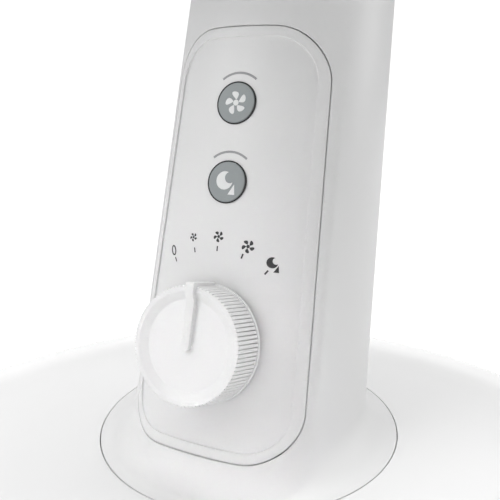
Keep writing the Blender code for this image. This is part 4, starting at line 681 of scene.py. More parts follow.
def build_knob():
    sides = KNOB_GROOVES * 10
    back, flange, top, edge = KNOB_STANDOFF, FLANGE_RADIUS, KNOB_HEIGHT, 0.0005
    flange_top = back + FLANGE_THICKNESS
    shoulder = top - edge
    dish = top - DISH_DEPTH
    socket = [(0.0033, CAVITY_TOP), (0.0033, back), (0.0055, back), (0.0055, CAVITY_TOP),
        (0.016, CAVITY_TOP), (0.016, back), (flange - 0.0002, back), (flange, back + 0.0002),
        (flange, flange_top - 0.00025), (flange - 0.0001, flange_top - 5e-5), (flange - 0.0003, flange_top)]
    rows = [circle(r, z, sides) for r, z in socket]
    for k in range(9):
        t = k / 8
        radius = between(KNOB_BACK_RADIUS, KNOB_RADIUS, t)
        rows.append(grooved_ring(radius, between(flange_top, shoulder, t)))
    rows += [grooved_ring(KNOB_RADIUS - edge * (1 - c), shoulder + edge * s) for c, s in quarter(6, 1)]
    rim = [(KNOB_RADIUS - edge - 0.0005, top), (DISH_OUTER + 0.0003, top), (DISH_OUTER + 0.0001, top)]
    for t in (0.02, 0.06, 0.5, 0.94, 0.98):
        rim.append((between(DISH_OUTER, DISH_INNER, t), top - DISH_DEPTH * t))
    rim += [(DISH_INNER - 0.0001, dish), (DISH_INNER - 0.0003, dish), (0.009, dish), (0.004, dish)]
    rows += [circle(r, z, sides) for r, z in rim]
    shape = bmesh.new()
    knob = solid(pointed(shape, skin(shape, rows), (CAVITY_TOP, dish)))

    half = POINTER_WIDTH / 2
    start = back + 0.0002
    top += POINTER_RIM_HEIGHT
    outer = KNOB_RADIUS + POINTER_SIDE_HEIGHT
    back_outer = flange + POINTER_SIDE_HEIGHT / 3
    sunk = CAVITY_TOP + 0.0008
    side = [(0, dish + POINTER_HEIGHT), (DISH_INNER - 0.0004, dish + POINTER_HEIGHT),
        (DISH_OUTER - 0.0006, top), (outer - 0.0006, top), (outer - 0.0002, top - 0.00018),
        (outer, top - 0.0006), (back_outer, start + 0.0004), (back_outer - 0.0004, start),
        (0.0165, start), (0.0165, sunk), (0, sunk)]
    rows = []
    for k in range(-8, 9):
        x = half * sin(pi / 2 * k / 8)
        round_end = -sqrt(max(half * half - x * x, 0))
        rows.append([(x, y if y else round_end, z) for y, z in side])
    pointer = solid(capped(bmesh.new(), rows))
    bevel(pointer, 0.00028, 35)
    join(knob, taken(pointer))
    # The knob takes the lighter white, which is painted light for the light it catches over the panel.
    piece("knob_body", knob, KNOB_WHITE_PAINTED_LIGHT, "knob", "knob", PANEL_PLACE)


def thin_marks(outlines, point):
    """Thin marks over outlines of (x, up) points; point() gives the place of such a point on either face."""
    shape = bmesh.new()
    for outline in outlines:
        capped(shape, [[point(x, up, side * MARK_HALF_THICKNESS) for x, up in outline] for side in (1, -1)])
    return shape


def draped(outlines):
    return thin_marks(outlines, lambda x, up, depth: on_panel(x, up, PANEL_RECESS + depth))


def on_button(outlines):
    return thin_marks(outlines, lambda x, up, depth: PANEL_PLACE @ Vector((x, up, BUTTON_FACE - depth)))


def turned_about(points, angle, centre=(0, 0)):
    c, s = polar(1, angle)
    return [(centre[0] + x * c - y * s, centre[1] + x * s + y * c) for x, y in points]


def ribbon(one, other):
    """Quads between two rows of points."""
    return [[one[i], one[i + 1], other[i + 1], other[i]] for i in range(len(one) - 1)]


def fan_sign(centre, size, lean):
    """Five petal shapes round a small hub, as a sign for moving air."""
    petal = []
    for i in range(18):
        t = tau * i / 18
        reach = 0.62 + 0.34 * cos(t)
        swing = 0.17 * sin(t) * (0.8 + 0.5 * cos(t)) + 0.16 * (reach - 0.3)
        petal.append((reach * size / 2, swing * size))
    petals = [turned_about(petal, lean + tau * k / 5, centre) for k in range(5)]
    return petals + [turned_about(disc(0.13 * size, 12), 0, centre)]


def night_sign(centre, size, corner, scale):
    """A moon, a disc less a smaller disc, with a small triangle, as a sign for the night speed."""
    radius = size / 2
    tip = acos((1 + MOON_BITE_SHIFT ** 2 - MOON_BITE ** 2) / (2 * MOON_BITE_SHIFT))
    turn = atan2(sin(tip), cos(tip) - MOON_BITE_SHIFT)
    points = [polar(radius, tip + (tau - 2 * tip) * i / 24) for i in range(25)]
    for i in range(1, 24):
        x, y = polar(MOON_BITE, tau - turn - (tau - 2 * turn) * i / 24)
        points.append((radius * (MOON_BITE_SHIFT + x), radius * y))
    pennant = [(corner[0] + scale * x, corner[1] + scale * y) for x, y in NIGHT_PENNANT]
    return [turned_about(points, MOON_LEAN, centre), pennant]


def zero_sign(centre, width, height, line, lean):
    turns = [polar(1, tau * k / 32) for k in range(33)]
    outer, inner = [[((width / 2 - inset) * c, (height / 2 - inset) * s) for c, s in turns]
        for inset in (0, line)]
    return [turned_about(quad, lean, centre) for quad in ribbon(outer, inner)]


def place_on_dial(degrees, radius):
    """The point at an angle from the panel's up direction, to the right."""
    up, x = polar(radius, radians(degrees))
    return x, up


def build_marks():
    dark, pale = [], []
    for degrees, near, width in DIAL_TICKS:
        far, half = near + TICK_LENGTH, width / 2
        tick = [(near, -half), (far, -half), (far, half), (near, half)]
        dark.append(turned_about(tick, pi / 2 - radians(degrees)))
    dark += zero_sign(place_on_dial(*DIAL_ZERO), 0.0022, 0.0036, 0.0005, 0.42)
    for degrees, radius, size in DIAL_FANS:
        dark += fan_sign(place_on_dial(degrees, radius), size, radians(39))
    night_at = place_on_dial(*DIAL_NIGHT)
    dark += night_sign(night_at, 0.0034, night_at, 1.0)
    piece("dial_marks", draped(dark), MARK_DARK, "base")
    turns = [pi / 2 + ARC_HALF_ANGLE * (1 - k / 8) for k in range(17)]
    for up in (TURBO_U, NIGHT_U):
        near, far = [turned_about([polar(r, t) for t in turns], 0, (0, up))
            for r in (ARC_RADIUS, ARC_RADIUS + ARC_WIDTH)]
        pale += ribbon(near, far)
    piece("dial_marks_pale", draped(pale), MARK_PALE, "base")
    piece("turbo_mark", on_button(fan_sign((0, TURBO_U), 0.0074, 0.3)), MARK_LIGHT, "turbo_button")
    night_up = NIGHT_U + 0.0004
    night = night_sign((-0.0007, night_up), 0.0058, (0, night_up), 1.5)
    piece("night_mark", on_button(night), MARK_LIGHT, "night_button")


# Tilt joint and neck. The head's sizes are the CAD part's, from the tilt axis and the fan's axis

TILT_Y = 0.0897776
TILT_Z = 0.303
MOTOR_HEIGHT = 0.082
KNUCKLE_RADIUS = 0.0147
KNUCKLE_HALF = 0.013
EAR_THICKNESS = 0.0057
BRACKET_FLANGE = 0.0035
BRACKET_PLUG = 0.018
BOLT_RADIUS = 0.004
BOLT_HEAD_RADIUS = 0.008
BOLT_HEAD = 0.004
TILT_NUT_RADIUS = 0.0117
TILT_NUT_LENGTH = 0.012
NECK_BORE = 0.0083
NECK_ARM_TOP = 0.0419
NECK_ARM_THICKNESS = 0.003
NECK_ARM_REACH = 0.026
NECK_ARM_END = 0.004
ALONG_X = Matrix.Rotation(pi / 2, 4, "Y")
TILT_PLACE = at(0, TILT_Y, TILT_Z)
AXIS_PLACE = at(0, TILT_Y, TILT_Z + MOTOR_HEIGHT) @ Matrix.Rotation(pi / 2, 4, "X")


def fluted(profile, sides, flutes, depth, closed=False):
    """A turned solid with finger grooves. Each row is a radius, a height and the grooves' share there."""
    shape = bmesh.new()
    rows = []
    for radius, height, share in profile:
        row = []
        for i in range(sides):
            angle = tau * i / sides
            groove = (0.5 - 0.5 * cos(flutes * angle)) ** 2 * depth * share
            row.append((*polar(radius - groove, angle), height))
        rows.append(row)
    rings = skin(shape, rows, closed)
    return shape if closed else pointed(shape, rings, (profile[0][1], profile[-1][1]))


def stadium(near, far, half_width, steps=6):
    """Outline of a radial slot with round ends."""
    points = []
    for centre, first in ((far, -90), (near, 90)):
        for i in range(steps + 1):
            x, y = polar(half_width, radians(first + 180 * i / steps))
            points.append((centre + x, y))
    return points


def build_bracket():
    low = COLUMN_TOP_Z + GAP
    high = low + BRACKET_FLANGE
    edge = 0.0011
    plug, plug_end = COLUMN_WALL + GAP, COLUMN_TOP_Z - BRACKET_PLUG
    rows = [(plug_end, plug + edge), (plug_end + edge, plug), (low, plug), (low, 0.0002), (low + 0.0002, 0)]
    rows += [(high - edge + edge * s, edge * (1 - c)) for c, s in quarter(4)]
    bracket = solid(capped(bmesh.new(), [column_ring(z, inset) for z, inset in rows]))
    base = high - TILT_Z - 0.001
    arch = [polar(KNUCKLE_RADIUS, pi * (1 - i / 32)) for i in range(33)]
    outline = [(-KNUCKLE_RADIUS, base)] + arch + [(KNUCKLE_RADIUS, base)]
    inner = KNUCKLE_HALF + GAP
    for side in (-1, 1):
        ear = solid(moved(slab(outline, side * inner, side * (inner + EAR_THICKNESS)), TILT_PLACE))
        bevel(ear, 0.0008, 50)
        join(bracket, taken(ear))
    cut(bracket, rod(BOLT_RADIUS + GAP, -0.03, 0.03, 48, TILT_PLACE @ ALONG_X))
    piece("column_cap", bracket, HEAD_WHITE, "base", "tilt_bracket")


def build_tilt_clamp():
    place = TILT_PLACE @ ALONG_X
    face = KNUCKLE_HALF + EAR_THICKNESS + 2 * GAP
    shank_end = face + TILT_NUT_LENGTH / 2
    head_top = -face - BOLT_HEAD
    profile = [(0, shank_end), (BOLT_RADIUS - 0.0005, shank_end), (BOLT_RADIUS, shank_end - 0.0005)]
    profile += rounded([(BOLT_RADIUS, -face), (BOLT_HEAD_RADIUS, -face, 0.0004),
        (BOLT_HEAD_RADIUS, head_top, 0.0016), (0, head_top)], 5)
    bolt = solid(turned(profile, 64))
    cut(bolt, prism(disc(0.003, 6), head_top - 0.001, head_top + 0.0022))
    piece("tilt_pin", bolt, STEEL, "base", "tilt_bolt", place)

    end = face + TILT_NUT_LENGTH
    thread = BOLT_RADIUS + GAP
    foot, crown = 0.0008, 0.0018
    rows = [(thread, shank_end + GAP, 0), (thread, face, 0), (TILT_NUT_RADIUS - foot, face, 1)]
    rows += [(TILT_NUT_RADIUS - foot * (1 - s), face + foot * (1 - c), 1) for c, s in quarter(4, 1)]
    rows += [(TILT_NUT_RADIUS - crown * (1 - c), end - crown * (1 - s), 1) for c, s in quarter(6)]
    rows += [(0.0068, end, 0), (0.0064, end - 0.0004, 0), (0.0060, end - 0.0010, 0)]
    piece("tilt_grip", fluted(rows, 144, 6, 0.0018), DARK_PLASTIC, "tilt_nut", "tilt_nut", place)


def build_neck():
    profile = [(0, 0), (0.012, 0), (0.012, 0.0132), (0.0123, 0.0146), (0.0132, 0.0154), (0.0146, 0.0157)]
    profile += rounded([(0.0146, 0.0157), (0.022, 0.0157, 0.0012), (0.022, 0.0202, 0.0016),
        (0.0135, 0.0202)], 5)[1:]
    profile += [(0.0122, 0.0205), (0.0113, 0.0213), (0.011, 0.0226), (0.011, NECK_ARM_TOP),
        (0, NECK_ARM_TOP)]
    neck = solid(turned(profile, 128))
    width = KNUCKLE_HALF
    knuckle = rounded([(0, -width), (KNUCKLE_RADIUS, -width, 0.0009), (KNUCKLE_RADIUS, width, 0.0009),
        (0, width)], 4)
    join(neck, moved(turned(knuckle, 128), ALONG_X))
    arm = stadium(0.001, NECK_ARM_REACH, NECK_ARM_END, 12)
    join(neck, prism(arm, NECK_ARM_TOP - NECK_ARM_THICKNESS, NECK_ARM_TOP - 0.0001))
    bore = rod(NECK_BORE, BOLT_RADIUS + 0.002, NECK_ARM_TOP + 0.001, 64)
    cut(neck, together(bore, rod(BOLT_RADIUS + GAP, -0.03, 0.03, 48, ALONG_X)))
    piece("neck_casting", neck, HEAD_WHITE, "neck", "neck", TILT_PLACE)


# Motor cover, shaft and fittings, about the fan's axis

COVER_RADIUS = 0.058013
COVER_WALL = 0.002
COVER_FRONT = 0.0559
COVER_DOME_START = -0.029836
COVER_DOME_LENGTH = 0.027
COVER_NECK_HOLE = 0.0135
CLUTCH_PLACE = TILT_PLACE @ at(0.0135, 0.0151, 0)
CLUTCH_ROD_RADIUS = 0.002
CLUTCH_ROD_LOW = 0.0803
CLUTCH_KNOB_LOW = 0.14042
CLUTCH_KNOB_HEIGHT = 0.010
VENTS = 24
PLATE_BACK = 0.0562
PLATE_FRONT = 0.0592
BOSS_RADIUS = 0.017
BOSS_END = 0.0702
BOSS_TURNS = 6
SHAFT_BORE = 0.005
SHAFT_RADIUS = 0.004
SHAFT_SHOULDER = -0.0027
SHAFT_NOSE = 0.129
WORM_RADIUS = 0.0035
WORM_ROOT_RADIUS = 0.0029
WORM_TAIL = -0.028
WORM_RIDGES = 12
NUT_RADIUS = 0.0273
NUT_LENGTH = 0.0075
SCREW_HEAD_RADIUS = 0.0029
SCREW_HEAD_HEIGHT = 0.0016
SCREW_RADIUS = 0.0014
SCREW_LENGTH = 0.0101


def build_motor_cover():
    dome_end = COVER_DOME_START - COVER_DOME_LENGTH
    outer, inner = [], []
    for c, s in quarter(24):
        drop = COVER_DOME_START - COVER_DOME_LENGTH * s
        outer.append((COVER_RADIUS * c, drop))
        inner.append(((COVER_RADIUS - COVER_WALL) * c, drop + COVER_WALL * s))
    seam = COVER_FRONT - 0.009
    wide, deep = COVER_RADIUS, COVER_RADIUS - 0.0005
    side = [(wide, seam - 0.0005), (deep, seam - 0.0002), (deep, seam + 0.0002), (wide, seam + 0.0005),
        (wide, COVER_FRONT - 0.0004), (wide - 0.0004, COVER_FRONT), (wide - COVER_WALL, COVER_FRONT)]
    cover = solid(moved(turned(outer[::-1] + side + inner, 192), AXIS_PLACE))
    vents = bmesh.new()
    for i in range(VENTS):
        outline = turned_about(stadium(0.021, 0.041, 0.0013), tau * (i + 0.5) / VENTS)
        capped(vents, [[(x, y, z) for x, y in outline] for z in (dome_end, COVER_DOME_START)])
    low = MOTOR_HEIGHT - COVER_RADIUS
    neck_hole = rod(COVER_NECK_HOLE, low - 0.001, low + 0.025, 96, TILT_PLACE)
    clutch_hole = rod(CLUTCH_ROD_RADIUS + GAP, MOTOR_HEIGHT, MOTOR_HEIGHT + 0.06, 32, CLUTCH_PLACE)
    screw_hole = rod(SCREW_RADIUS + 0.0004, dome_end - 0.001, dome_end + 0.004, 24, AXIS_PLACE)
    cut(cover, together(moved(vents, AXIS_PLACE), neck_hole, clutch_hole, screw_hole))
    piece("motor_housing", cover, HEAD_WHITE, "head", "motor_cover")

    back = dome_end - GAP
    screw = [(0, back + SCREW_LENGTH), (SCREW_RADIUS, back + SCREW_LENGTH)]
    screw += rounded([(SCREW_RADIUS, back), (SCREW_HEAD_RADIUS, back),
        (SCREW_HEAD_RADIUS, back - 0.0015, 0.0011), (0, back - SCREW_HEAD_HEIGHT)], 4)
    made = solid(turned(screw, 32))
    for wide, high in ((0.0017, 0.00035), (0.00035, 0.0017)):
        cross = [(-wide, -high), (wide, -high), (wide, high), (-wide, high)]
        cut(made, prism(cross, back - 0.003, back - 0.0007))
    piece("housing_screw", made, STEEL, "head", "cover_screw", AXIS_PLACE)


def build_shaft():
    """The motor shaft, with a ridge at each turn of its worm."""
    pitch = (SHAFT_SHOULDER - 0.003 - WORM_TAIL) / WORM_RIDGES
    root, crown = WORM_ROOT_RADIUS, WORM_RADIUS
    profile = [(0, WORM_TAIL), (root, WORM_TAIL)]
    profile += ridges(WORM_RIDGES, WORM_TAIL, pitch, ((root, 0.2), (crown, 0.4), (crown, 0.6), (root, 0.8)))
    profile += [(root, SHAFT_SHOULDER), (SHAFT_RADIUS - 0.0002, SHAFT_SHOULDER),
        (SHAFT_RADIUS, SHAFT_SHOULDER + 0.0002), (SHAFT_RADIUS, SHAFT_NOSE - 0.0005),
        (SHAFT_RADIUS - 0.0005, SHAFT_NOSE), (0, SHAFT_NOSE)]
    piece("drive_shaft", turned(profile, 48), STEEL, "blades", "motor_shaft", AXIS_PLACE)


def build_front_plate():
    profile = rounded([(SHAFT_BORE, PLATE_BACK), (COVER_RADIUS, PLATE_BACK, 0.0003),
        (COVER_RADIUS, PLATE_FRONT, 0.0010), (BOSS_RADIUS, PLATE_FRONT)], 4)
    wide, root = BOSS_RADIUS, BOSS_RADIUS - 0.0005
    low = PLATE_FRONT + 0.001
    pitch = (BOSS_END - 0.0008 - low) / BOSS_TURNS
    profile += ridges(BOSS_TURNS, low, pitch, ((wide, 0), (wide, 0.3), (root, 0.55), (root, 0.75)))
    profile += [(wide, BOSS_END - 0.0006), (wide - 0.0006, BOSS_END), (SHAFT_BORE, BOSS_END)]
    piece("motor_face", lathe(profile, 160), HEAD_WHITE, "head", "motor_front_plate", AXIS_PLACE)

    bore = BOSS_RADIUS + GAP
    low = PLATE_FRONT + 2 * GAP + 2 * PLATE_HALF
    high = low + NUT_LENGTH
    wide, deep = NUT_RADIUS, high - 0.001
    rows = [(bore, low, 0), (wide - 0.0008, low, 1), (wide, low + 0.0008, 1), (wide, high - 0.0015, 1),
        (wide - 0.0005, high - 0.0005, 1), (wide - 0.0016, high, 1), (wide - 0.005, high, 0),
        (wide - 0.0055, deep, 0), (bore + 0.0016, deep, 0), (bore + 0.001, high, 0), (bore, high, 0)]
    nut = fluted(rows, 240, 20, 0.0022, True)
    piece("cage_nut", nut, DARK_PLASTIC, "head", "grille_nut", AXIS_PLACE)


def build_clutch_knob():
    low, high = CLUTCH_KNOB_LOW, CLUTCH_KNOB_LOW + CLUTCH_KNOB_HEIGHT
    rows = [(CLUTCH_ROD_RADIUS, CLUTCH_ROD_LOW, 0), (CLUTCH_ROD_RADIUS, low, 0), (0.0048, low, 0),
        (0.0052, low + 0.0004, 0), (0.0054, low + 0.002, 0), (0.0060, low + 0.0045, 0),
        (0.0068, low + 0.0062, 0), (0.0070, low + 0.0068, 1), (0.0070, high - 0.0012, 1),
        (0.0067, high - 0.0004, 1), (0.0061, high, 0), (0.0046, high - 0.0002, 0),
        (0.0030, high - 0.0007, 0), (0.0012, high - 0.0009, 0)]
    knob = fluted(rows, 144, 18, 0.0006)
    piece("swing_knob", knob, HEAD_WHITE, "clutch_knob", "clutch_knob", CLUTCH_PLACE)


# Cage: two grilles of round wires, the ring that holds them together, its clip and the cap

CAGE_RADIUS = 0.176
CAGE_BAND = 0.006
CAGE_RIM = 0.110
CAGE_RIM_OFFSET = 0.00095
CAGE_BACK = 0.0603
PLATE_HALF = 0.0008
MOUNT_RADIUS = 0.060
CAGE_MIDDLE_RING = 0.1005
CAGE_FRONT_DEPTH = 0.042
CAGE_REAR_POWER = 6
CAGE_FRONT_POWER = 5
CAGE_HUB_RADIUS = 0.034
CAGE_SWEEP = radians(24)
CAGE_WIRES = 96
WIRE_RADIUS = 0.0009
WIRE_SIDES = 8
WIRE_STEPS = 22
WIRE_SPREAD = 1.4
MIDDLE_WIRE_RADIUS = 0.0014
RING_TURNS = 288
RIM_INNER = 0.17665
RIM_OUTER = 0.17925
RIM_LIP = 0.1732
RIM_LIP_FACE = 0.00205
RIM_END = 0.00465
CAP_THICKNESS = 0.004
CAP_FACE_RADIUS = 0.0244
LATCH_DOWN = 0.18138
LATCH_FRONT = 0.11715
LATCH_PIN_RADIUS = 0.0011
LATCH_WIDTH = 0.014
LATCH_THICKNESS = 0.002
LATCH_EAR = 0.0025


def wire(shape, points):
    """A round wire along the points, closed at both ends."""
    rings = []
    for i, here in enumerate(points):
        along = (points[min(i + 1, len(points) - 1)] - points[max(i - 1, 0)]).normalized()
        side = along.cross(Vector((0, 0, 1))).normalized()
        up = side.cross(along)
        rings.append([here + (side * c + up * s) * WIRE_RADIUS for c, s in disc(1, WIRE_SIDES)])
    capped(shape, rings)


def hoop(shape, profile):
    """A ring with a closed section, in the same mesh."""
    skin(shape, [circle(r, z, RING_TURNS) for r, z in profile], True)


def wire_cage(first, flat, middle, rim, power, sweep):
    """Wires from the radius first out to the rim, at the height middle as far as the radius flat."""
    def height(radius):
        reach = min(radius / (CAGE_RADIUS - CAGE_BAND), 1.0)
        return between(middle, rim, reach ** power) if radius > flat else middle

    shape = bmesh.new()
    last = CAGE_RADIUS - 0.004
    for i in range(CAGE_WIRES):
        points = []
        for k in range(WIRE_STEPS + 1):
            radius = between(first, last, 1 - (1 - k / WIRE_STEPS) ** WIRE_SPREAD)
            angle = tau * i / CAGE_WIRES + sweep * (radius - first) / (last - first)
            points.append(Vector((*polar(radius, angle), height(radius))))
        wire(shape, points)
    ring_height = height(CAGE_MIDDLE_RING)
    hoop(shape, [(CAGE_MIDDLE_RING + x, ring_height + z) for x, z in disc(MIDDLE_WIRE_RADIUS, 12)])
    inner, low, high = CAGE_RADIUS - CAGE_BAND, rim - PLATE_HALF, rim + PLATE_HALF
    hoop(shape, rounded([(CAGE_RADIUS, low, 0.0003), (CAGE_RADIUS, high, 0.0003), (inner, high, 0.0007),
        (inner, low, 0.0007)], 3))
    return shape


def build_cage():
    rear = wire_cage(MOUNT_RADIUS - 0.002, MOUNT_RADIUS, CAGE_BACK, CAGE_RIM - CAGE_RIM_OFFSET,
        CAGE_REAR_POWER, 0)
    bore, low, high = BOSS_RADIUS + GAP, CAGE_BACK - PLATE_HALF, CAGE_BACK + PLATE_HALF
    step = 0.0004
    plate = [(bore, low), (MOUNT_RADIUS - step, low), (MOUNT_RADIUS, low + step),
        (MOUNT_RADIUS, high - step), (MOUNT_RADIUS - step, high)]
    for radius in (0.0545, 0.0455, 0.0365):
        plate += groove(radius, high, 0.0003)
    hoop(rear, plate + [(bore, high)])
    piece("rear_guard", rear, WIRE_WHITE, "head", "rear_grille", AXIS_PLACE)

    rim = CAGE_RIM + CAGE_RIM_OFFSET
    top = rim + CAGE_FRONT_DEPTH
    front = wire_cage(CAGE_HUB_RADIUS - 0.003, CAGE_HUB_RADIUS, top, rim, CAGE_FRONT_POWER, CAGE_SWEEP)
    outer, inner = CAGE_HUB_RADIUS, CAGE_HUB_RADIUS - CAGE_BAND
    low, high = top - PLATE_HALF, top + PLATE_HALF
    corners = ((outer, low), (outer, high), (inner, high), (inner, low))
    hoop(front, rounded([(*corner, step) for corner in corners], 3))
    piece("front_guard", front, WIRE_WHITE, "head", "front_grille", AXIS_PLACE)

    back = high + GAP
    face = back + CAP_THICKNESS
    cap = [(0, back), (outer - 0.0008, back), (outer, back + 0.0008)]
    cap += [(outer - 0.0055 * (1 - c), back + 0.0008 + 0.0024 * s) for c, s in quarter(8, 1)]
    cap += [(0.0262, face - 0.0007), (0.0256, face - 0.0012), (0.0250, face - 0.0012),
        (CAP_FACE_RADIUS, face - 0.0005)]
    for i in range(1, 8):
        share = 1 - i / 8
        cap.append((CAP_FACE_RADIUS * share, face - 0.0005 + 0.0005 * (1 - share ** 2)))
    cap.append((0, face))
    piece("guard_cap", turned(cap, 192), HEAD_WHITE, "head", "front_cap", AXIS_PLACE)


def build_rim_ring():
    section = rounded([(RIM_OUTER, -RIM_END, 0.0012), (RIM_OUTER, RIM_END, 0.0012),
        (RIM_LIP, RIM_END, 0.0009), (RIM_LIP, RIM_LIP_FACE, 0.0002), (RIM_INNER, RIM_LIP_FACE),
        (RIM_INNER, -RIM_LIP_FACE), (RIM_LIP, -RIM_LIP_FACE, 0.0002), (RIM_LIP, -RIM_END, 0.0009)], 3)
    ring = solid(lathe([(r, CAGE_RIM + h) for r, h in section], RING_TURNS))
    inside = LATCH_WIDTH / 2 + GAP
    span = inside + LATCH_EAR
    top, face = -RIM_INNER - 0.0012, LATCH_FRONT + LATCH_EAR
    outline = rounded([(top, CAGE_RIM), (top, face, 0.0008), (-LATCH_DOWN - LATCH_EAR, face, 0.0022),
        (-LATCH_DOWN - LATCH_EAR, CAGE_RIM + 0.002, 0.0022), (-RIM_OUTER, CAGE_RIM)], 4)
    for side in (-1, 1):
        join(ring, slab(outline, side * inside, side * span))
    pin_place = at(0, -LATCH_DOWN, LATCH_FRONT)
    cut(ring, rod(LATCH_PIN_RADIUS + GAP, -span - 0.001, span + 0.001, 32, pin_place @ ALONG_X))
    piece("guard_ring", ring, HEAD_WHITE, "head", "rim_ring", AXIS_PLACE)

    half = LATCH_THICKNESS / 2
    clear = LATCH_FRONT - CAGE_RIM + RIM_END + GAP
    hook = LATCH_PIN_RADIUS + half + 0.0013
    outline = [(half, half + GAP), (-half, half + GAP), (-half, -clear - LATCH_THICKNESS),
        (hook, -clear - LATCH_THICKNESS), (hook, -clear), (half, -clear)]
    latch = solid(slab(outline, -LATCH_WIDTH / 2, LATCH_WIDTH / 2))
    bevel(latch, 0.0004, 50)
    join(latch, rod(LATCH_PIN_RADIUS, -span, span, 32, ALONG_X))
    piece("guard_clip", latch, HEAD_WHITE, "latch", "rim_latch", AXIS_PLACE @ pin_place)


# Blades

BLADES = 5
BLADE_CENTRE = 0.103
BLADE_RADIUS = 0.15
BLADE_THICKNESS = 0.0019
BLADE_ROWS = 25
CHORD_POINTS = 17
BLADE_ROOT_PITCH = radians(34)
BLADE_TIP_PITCH = radians(20)
BLADE_ROOT_ANGLE = radians(46)
BLADE_TIP_ANGLE = radians(36)
BLADE_BELLY = radians(14)
BLADE_SWEEP = radians(26)
BLADE_SWEEP_POWER = 1.5
BLADE_CAMBER = 0.004
BLADE_FLATTEN = 0.28
BLADE_CORNER = 0.06
HUB_RADIUS = 0.031
HUB_WALL = 0.0025
HUB_EDGE = 0.0031
HUB_DEPTH = 0.040
HUB_BORE = 0.0043
SPINNER_RADIUS = 0.013
SPINNER_LENGTH = 0.012
SPINNER_EDGE = 0.0039


def blade_sheet(shape, turn):
    root = HUB_RADIUS - HUB_EDGE
    rows = []
    for k in range(BLADE_ROWS):
        t = k / (BLADE_ROWS - 1)
        radius = between(root, BLADE_RADIUS, t)
        pitch = between(BLADE_ROOT_PITCH, BLADE_TIP_PITCH, t)
        slope = tan(pitch) * (1 - BLADE_FLATTEN * t)
        width = between(BLADE_ROOT_ANGLE, BLADE_TIP_ANGLE, t) + BLADE_BELLY * sin(pi * t)
        row = []
        for i in range(CHORD_POINTS):
            s = i / (CHORD_POINTS - 1) - 0.5
            angle = turn + BLADE_SWEEP * t ** BLADE_SWEEP_POWER + s * width
            reach = radius * (1 - BLADE_CORNER * (2 * abs(s)) ** 3 * t)
            height = BLADE_CENTRE + s * width * radius * slope + BLADE_CAMBER * (1 - (2 * s) ** 2) * t
            row.append((*polar(reach, angle), height))
        rows.append(row)
    sheet(shape, rows)


def build_blades():
    back, front = BLADE_CENTRE - HUB_DEPTH / 2, BLADE_CENTRE + HUB_DEPTH / 2
    inner = HUB_RADIUS - HUB_WALL
    boss = HUB_BORE + 2 * HUB_WALL
    edge = 2 * HUB_WALL
    deck = front - edge
    hub = [(HUB_BORE, back), (boss, back), (boss, deck), (inner, deck), (inner, back), (HUB_RADIUS, back)]
    hub += [(HUB_RADIUS - edge * (1 - c), deck + edge * s) for c, s in quarter(8)]
    for radius in (0.0235, 0.0185):
        hub += groove(radius, front, 0.0004)
    hub.append((HUB_BORE, front))
    blades = solid(lathe(hub, 160))
    shape = bmesh.new()
    for i in range(BLADES):
        blade_sheet(shape, tau * i / BLADES)
    vanes = solid(shape)
    thick = vanes.modifiers.new("thickness", "SOLIDIFY")
    thick.thickness = BLADE_THICKNESS
    thick.offset = 0
    bevel(vanes, 0.0007, 60)
    join(blades, taken(vanes))
    piece("fan_blades", blades, BLADE_WHITE, "blades", "blade_set", AXIS_PLACE)

    low = front + GAP
    high = low + SPINNER_LENGTH
    shoulder = high - SPINNER_EDGE
    rows = [(HUB_BORE, shoulder, 0), (HUB_BORE, low, 0), (SPINNER_RADIUS - 0.0006, low, 1),
        (SPINNER_RADIUS, low + 0.0006, 1), (SPINNER_RADIUS, shoulder, 1)]
    for i, (c, s) in enumerate(quarter(9, 1), 1):
        rows.append((SPINNER_RADIUS - 0.0055 * (1 - c), shoulder + 0.0034 * s, 1 - i / 9))
    rows += [(0.005, high - 0.00025, 0), (0.0025, high - 8e-5, 0), (0.001, high, 0)]
    spinner = fluted(rows, 180, 12, 0.0014)
    piece("blade_spinner", spinner, DARK_PLASTIC, "blades", "blade_nut", AXIS_PLACE)


# Camera and light

CAMERA_PLACE = Vector((0.09746, -0.17170, 0.15827))
CAMERA_TURN = radians(26.962)
CAMERA_DROP = radians(15.331)
CAMERA_ROLL = radians(-0.854)
CAMERA_LENS = 46.55
CAMERA_SENSOR = 36.0
FLOOR_REACH = 6.0
FLOOR_TONE = 0.66
FLOOR_GLOW = 1.3
FLOOR_SHARE = 0.75
ROOM_LIGHT = 0.25
ROOM_WHITE = 1.1
GLOSSY_SHARE = 0.35
LIGHT_TARGET = (0, 0, 0.08)
FOOT_TARGET = (0.02, -0.03, 0.01)

# Name, place, target, width, height, watts and spread in degrees. All but the last are far off, so that the
# top of the fan gets hardly more light than the base
LIGHTS = (
    ("top_light", (0, 0, 6.0), LIGHT_TARGET, 5.6, 5.6, 277, 180),
    ("top_rear_light", (0, 2.4, 5.6), LIGHT_TARGET, 4.0, 4.0, 112, 180),
    ("left_light", (-3.6, -4.0, 4.8), LIGHT_TARGET, 4.0, 4.0, 180, 180),
    ("low_light", (-0.9, -4.5, 0.6), LIGHT_TARGET, 3.6, 1.2, 24, 180),
    ("right_rear_light", (3.0, 2.4, 1.5), LIGHT_TARGET, 2.4, 2.4, 32, 180),
    ("foot_light", (1.3, -2.7, 0.5), FOOT_TARGET, 0.3, 0.2, 0.042, 5),
)


def build_camera():
    back = Vector((sin(CAMERA_TURN) * cos(CAMERA_DROP),
        -cos(CAMERA_TURN) * cos(CAMERA_DROP), sin(CAMERA_DROP)))
    right = Vector((0, 0, 1)).cross(back).normalized()
    up = back.cross(right)
    c, s = polar(1, CAMERA_ROLL)
    right, up = right * c + up * s, up * c - right * s
    data = bpy.data.cameras.new("camera")
    data.lens = CAMERA_LENS
    data.sensor_width = CAMERA_SENSOR
    data.clip_start = 0.01
    camera = added("camera", data)
    camera.matrix_world = at(*CAMERA_PLACE) @ Matrix((right, up, back)).transposed().to_4x4()
    bpy.context.scene.camera = camera


